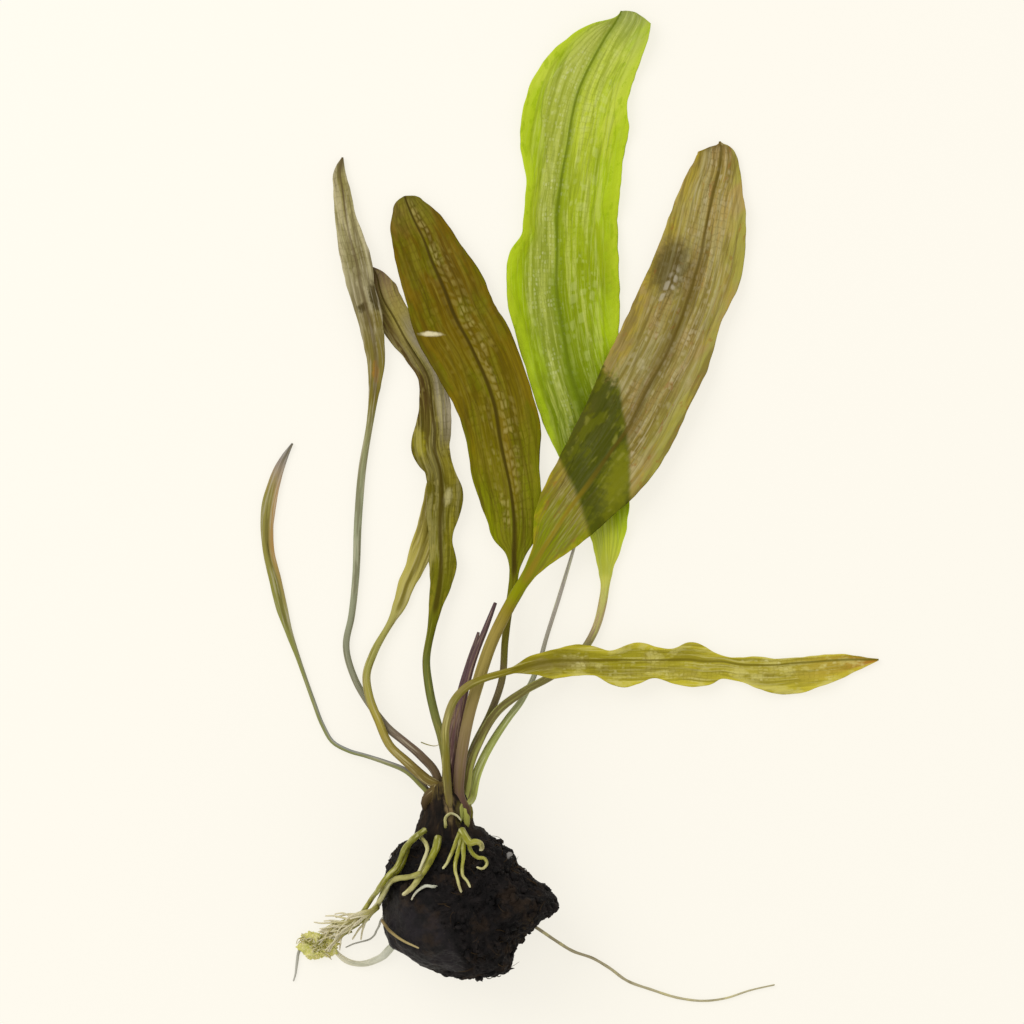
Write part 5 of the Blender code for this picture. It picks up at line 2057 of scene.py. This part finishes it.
NECK = TuberNeck("tuber_crown", "tuber_skin", TUBER_SKIN, (
    (-36.0, -76.4, 20.2, 1.2), (-35.7, -77.8, 20.6, 4.0), (-35.2, -80.2, 20.8, 5.7),
    (-34.5, -82.6, 21.0, 6.5), (-34.2, -86, 21.1, 7.3), (-34.2, -89.5, 21.0, 8.8),
    (-33.6, -92.5, 20.6, 10.8), (-33, -95.5, 19.8, 12.4), (-32.5, -98.5, 19.2, 12.8),
    (-32.5, -101, 19, 9.0)))

PLUG = SoilPlug(
    "soil_clod", "wet_soil", WET_SOIL, PEAT_FIBRE, middle=(-28.0, -107.5, 18.5),
    pressed=(-0.75, -0.5, 0.45))

ROOTS = (
    RootStrand("root_left_middle", "root_green", GREEN_ROOT, 1.1, (
        (-36.5, -92, 29.7), (-37, -93.9, 33.9), (-38.1, -95.9, 35.9), (-39.1, -97.8, 36.1),
        (-40.2, -99.7, 36.4), (-41.6, -101.6, 37.3), (-42.9, -103.5, 37.3),
        (-44.3, -104.9, 36.3), (-46, -106.1, 34.6))),
    RootStrand("root_left_inner", "root_pale", PALE_ROOT, 0.6, (
        (-40.7, -91.1, 26.9), (-39.5, -92.5, 30.3), (-39.2, -94, 32.3), (-40, -96, 35.2),
        (-40.8, -98.1, 36.2), (-41.9, -100.3, 36.6))),
    RootStrand("root_left_outer", "root_green", GREEN_ROOT, 0.85, (
        (-41, -89.5, 26), (-43.2, -91.1, 25.6), (-44.4, -92.6, 26), (-44.7, -93.9, 28.6),
        (-45.5, -95.9, 30.6), (-46.3, -98.2, 31), (-47.7, -100.1, 30.6), (-49.4, -101.8, 30),
        (-50.8, -104.6, 25.4), (-52.2, -108, 18.5), (-54.1, -111.8, 11.5), (-56.4, -113.8, 7.6),
        (-58.9, -115.9, 4.6), (-61.8, -116.9, 2.8), (-64.9, -118.4, 1.9), (-67.7, -120.4, 1.5),
        (-70.2, -122.4, 1.3))),
    RootStrand("root_left_cross", "root_pale", PALE_ROOT, 0.75, (
        (-41.9, -100.3, 36.6), (-44.4, -101.2, 34.9), (-46.9, -101.6, 33.1),
        (-49.1, -102.6, 30.1), (-50.6, -105.2, 25.6), (-52.1, -108.1, 20), (-53.9, -110.7, 14),
        (-55.9, -113, 8.6), (-58.4, -115.7, 4.4), (-61.2, -117.5, 2.6), (-64.1, -119.3, 1.6),
        (-66.6, -121, 1.2))),
    RootStrand("root_left_upper", "root_green", GREEN_ROOT, 0.8, (
        (-42.8, -91, 25), (-44.6, -92.6, 25.8), (-45.8, -94.5, 28.8), (-46.6, -96.8, 30.6),
        (-47.8, -98.9, 30.1), (-49.6, -100.7, 29.6), (-51.4, -103.1, 26), (-53.2, -106, 20),
        (-54.8, -108.5, 14.6), (-56.4, -111, 10), (-58.4, -113.5, 6.4), (-61, -115.2, 4),
        (-63.5, -116.1, 2.4), (-66.6, -117.3, 1.6), (-69.4, -119, 1.2))),
    RootStrand("root_arch", "root_pale", GLASSY_ROOT, 1.15, (
        (-46.4, -119, 6), (-48.2, -121.4, 4.5), (-50.6, -124.2, 2.8), (-52.3, -126, 1.8),
        (-54.6, -127.2, 1.3), (-57.1, -128, 1.2), (-59.9, -128, 1.2), (-62.4, -127.2, 1.2),
        (-64.4, -125.7, 1.3), (-66, -123.8, 1.4)), laid=False),
    RootStrand("root_thin_grey", "root_grey", GREY_ROOT, 0.35, (
        (-51, -112.6, 19), (-52.6, -115.4, 11), (-53.2, -117.2, 6.5), (-54, -118.8, 3.4),
        (-54.7, -120.2, 1.6), (-56, -121.3, 0.8), (-57.9, -121.9, 0.5), (-60.2, -122.5, 0.5),
        (-62.7, -123.6, 0.5)), laid=False),
    RootStrand("root_far_left", "root_tan", GREY_ROOT, 0.45, (
        (-73.6, -121.8, 0.8), (-74.8, -123.2, 0.6), (-75.6, -124.4, 0.5), (-76.1, -126.7, 0.5),
        (-76.4, -128.9, 0.5), (-76.7, -131.1, 0.5), (-77.3, -133.1, 0.5))),
    RootStrand("root_tan", "root_tan", TAN_ROOT, 0.45, (
        (-51, -114.8, 22.2), (-49.4, -116.5, 28.7), (-47.4, -117.9, 31.1),
        (-45.2, -119.1, 32.7), (-43.3, -119.9, 33.4), (-41.4, -120.7, 34.1))),
    RootStrand("root_white_hook", "root_pale", GLASSY_ROOT, 0.45, (
        (-37.7, -103.6, 39.2), (-39.1, -103.4, 38.4), (-40.5, -103.8, 37.9),
        (-41.6, -104.8, 38), (-42.7, -105.9, 37.3), (-43.5, -107.4, 36.3))),
    RootStrand("root_front_curl", "root_pale", PALE_ROOT, 0.45, (
        (-34.3, -87.4, 28.6), (-34.3, -85.5, 28.1), (-33.5, -84.5, 28.4), (-32.2, -84.6, 27.9),
        (-30.8, -85.3, 27.3), (-30, -86.4, 27.1))),
    RootStrand("root_front_long", "root_green", GREEN_ROOT, 0.68, (
        (-30.5, -89.9, 28.8), (-31.3, -91.8, 33.1), (-32.1, -93.8, 34.9), (-33.1, -95.9, 36.8),
        (-33.9, -97.5, 37.8), (-35, -98.8, 39.2))),
    RootStrand("root_front_mid", "root_green", GREEN_ROOT, 0.62, (
        (-29.9, -91.1, 30.6), (-30.4, -93, 34.4), (-31, -95.1, 36.6), (-31.5, -97.2, 37.5),
        (-31.5, -99.3, 39.1), (-30.9, -101.4, 39.8), (-30.4, -103.5, 40.1),
        (-29.8, -105.2, 40.3))),
    RootStrand("root_front_right", "root_green", GREEN_ROOT, 0.6, (
        (-29.1, -91.6, 31.9), (-29.3, -93.6, 34.3), (-29.3, -95.9, 36.9), (-29.6, -97.9, 38.4),
        (-29.6, -99.8, 38.9), (-29, -101.4, 40), (-27.9, -102.4, 40.4), (-27.4, -103.8, 40.4))),
    RootStrand("root_front_hook", "root_green", GREEN_ROOT, 0.62, (
        (-27.7, -92.1, 32.6), (-27.4, -93.8, 34.8), (-26.3, -95.3, 34.7), (-25, -96, 34.7),
        (-23.6, -96.1, 35.1), (-22.9, -97, 36), (-23.3, -98.4, 36.5), (-24.4, -98.9, 36.8),
        (-25.8, -98.4, 37.5))),
    RootStrand("root_front_short", "root_green", GREEN_ROOT, 1.05, (
        (-29.1, -89.4, 27.9), (-28.3, -90.7, 28.8), (-27.2, -91.7, 30.6), (-25.8, -91.4, 29.8),
        (-24.7, -91.9, 30.6), (-24.3, -93.2, 31.5), (-25, -93.9, 33.5))),
    RootStrand("root_long_right", "root_tan", FADED_ROOT, 0.45, (
        (-12, -115.6, 9), (-8.5, -118, 7), (-4, -121.3, 4), (1, -124.5, 2), (6.6, -126.6, 0.9),
        (11, -129.2, 0.6), (16, -132.8, 0.6), (23, -135.4, 0.6), (31, -137.8, 0.6),
        (38.5, -138.5, 0.6), (43.6, -137.8, 0.6), (50.5, -135.6, 0.6), (57.5, -134, 0.6)),
        laid=False),
)

ROOT_MAT = RootMat(
    "root_mat", "root_pale", MATTED_ROOT, middle=(-70.5, -123.1, 1.7), reach=(4.8, 3.7, 1.6))

FINE_ROOTS = FineRoots("fine_roots", "root_pale", HAIR_ROOT, (
    Tuft(-59.5, -115.8, 1.2, 210, 10, 10, (8, 13), 0.36, 5),
    Tuft(-62.5, -117.8, 2.2, 205, 14, 12, (5, 9), 0.3, 8),
    Tuft(-70.1, -122.8, 2.4, 200, 180, 30, (3, 4.6), 0.22, 30),
    Tuft(-73.5, -121, 1.2, 150, 50, 6, (2, 3.5), 0.15, 20),
    Tuft(-41.6, -66.2, 0.1, -22, 1, 1, (6, 6.2), 0.16, 4),
    Tuft(-57, -114, 1.6, 212, 9, 12, (8, 13), 0.36, 5),
    Tuft(-53, -110.6, 0.6, 218, 8, 9, (9, 14), 0.42, 4),
))


def main() -> None:
    """Build the plant and the studio."""
    logging.basicConfig(level=logging.INFO, format="%(message)s")
    made = [leaf.build(NECK) for leaf in LEAVES]
    neck, plug = NECK.build(), PLUG.build()
    made += [neck, *plug]
    below = [surface_of(neck), *(surface_of(piece) for piece in plug[:2])]
    for root in ROOTS:
        strand = root.build(Ground(tuple(below)))
        below.append(surface_of(strand))
        made.append(strand)
    mat = ROOT_MAT.build()
    made += [mat, FINE_ROOTS.build(Ground((*below, surface_of(mat))))]
    for piece in made:
        LOG.info("%s: %d faces", piece.name, len(piece.data.polygons))
    Studio().build()


if __name__ == "__main__":
    main()
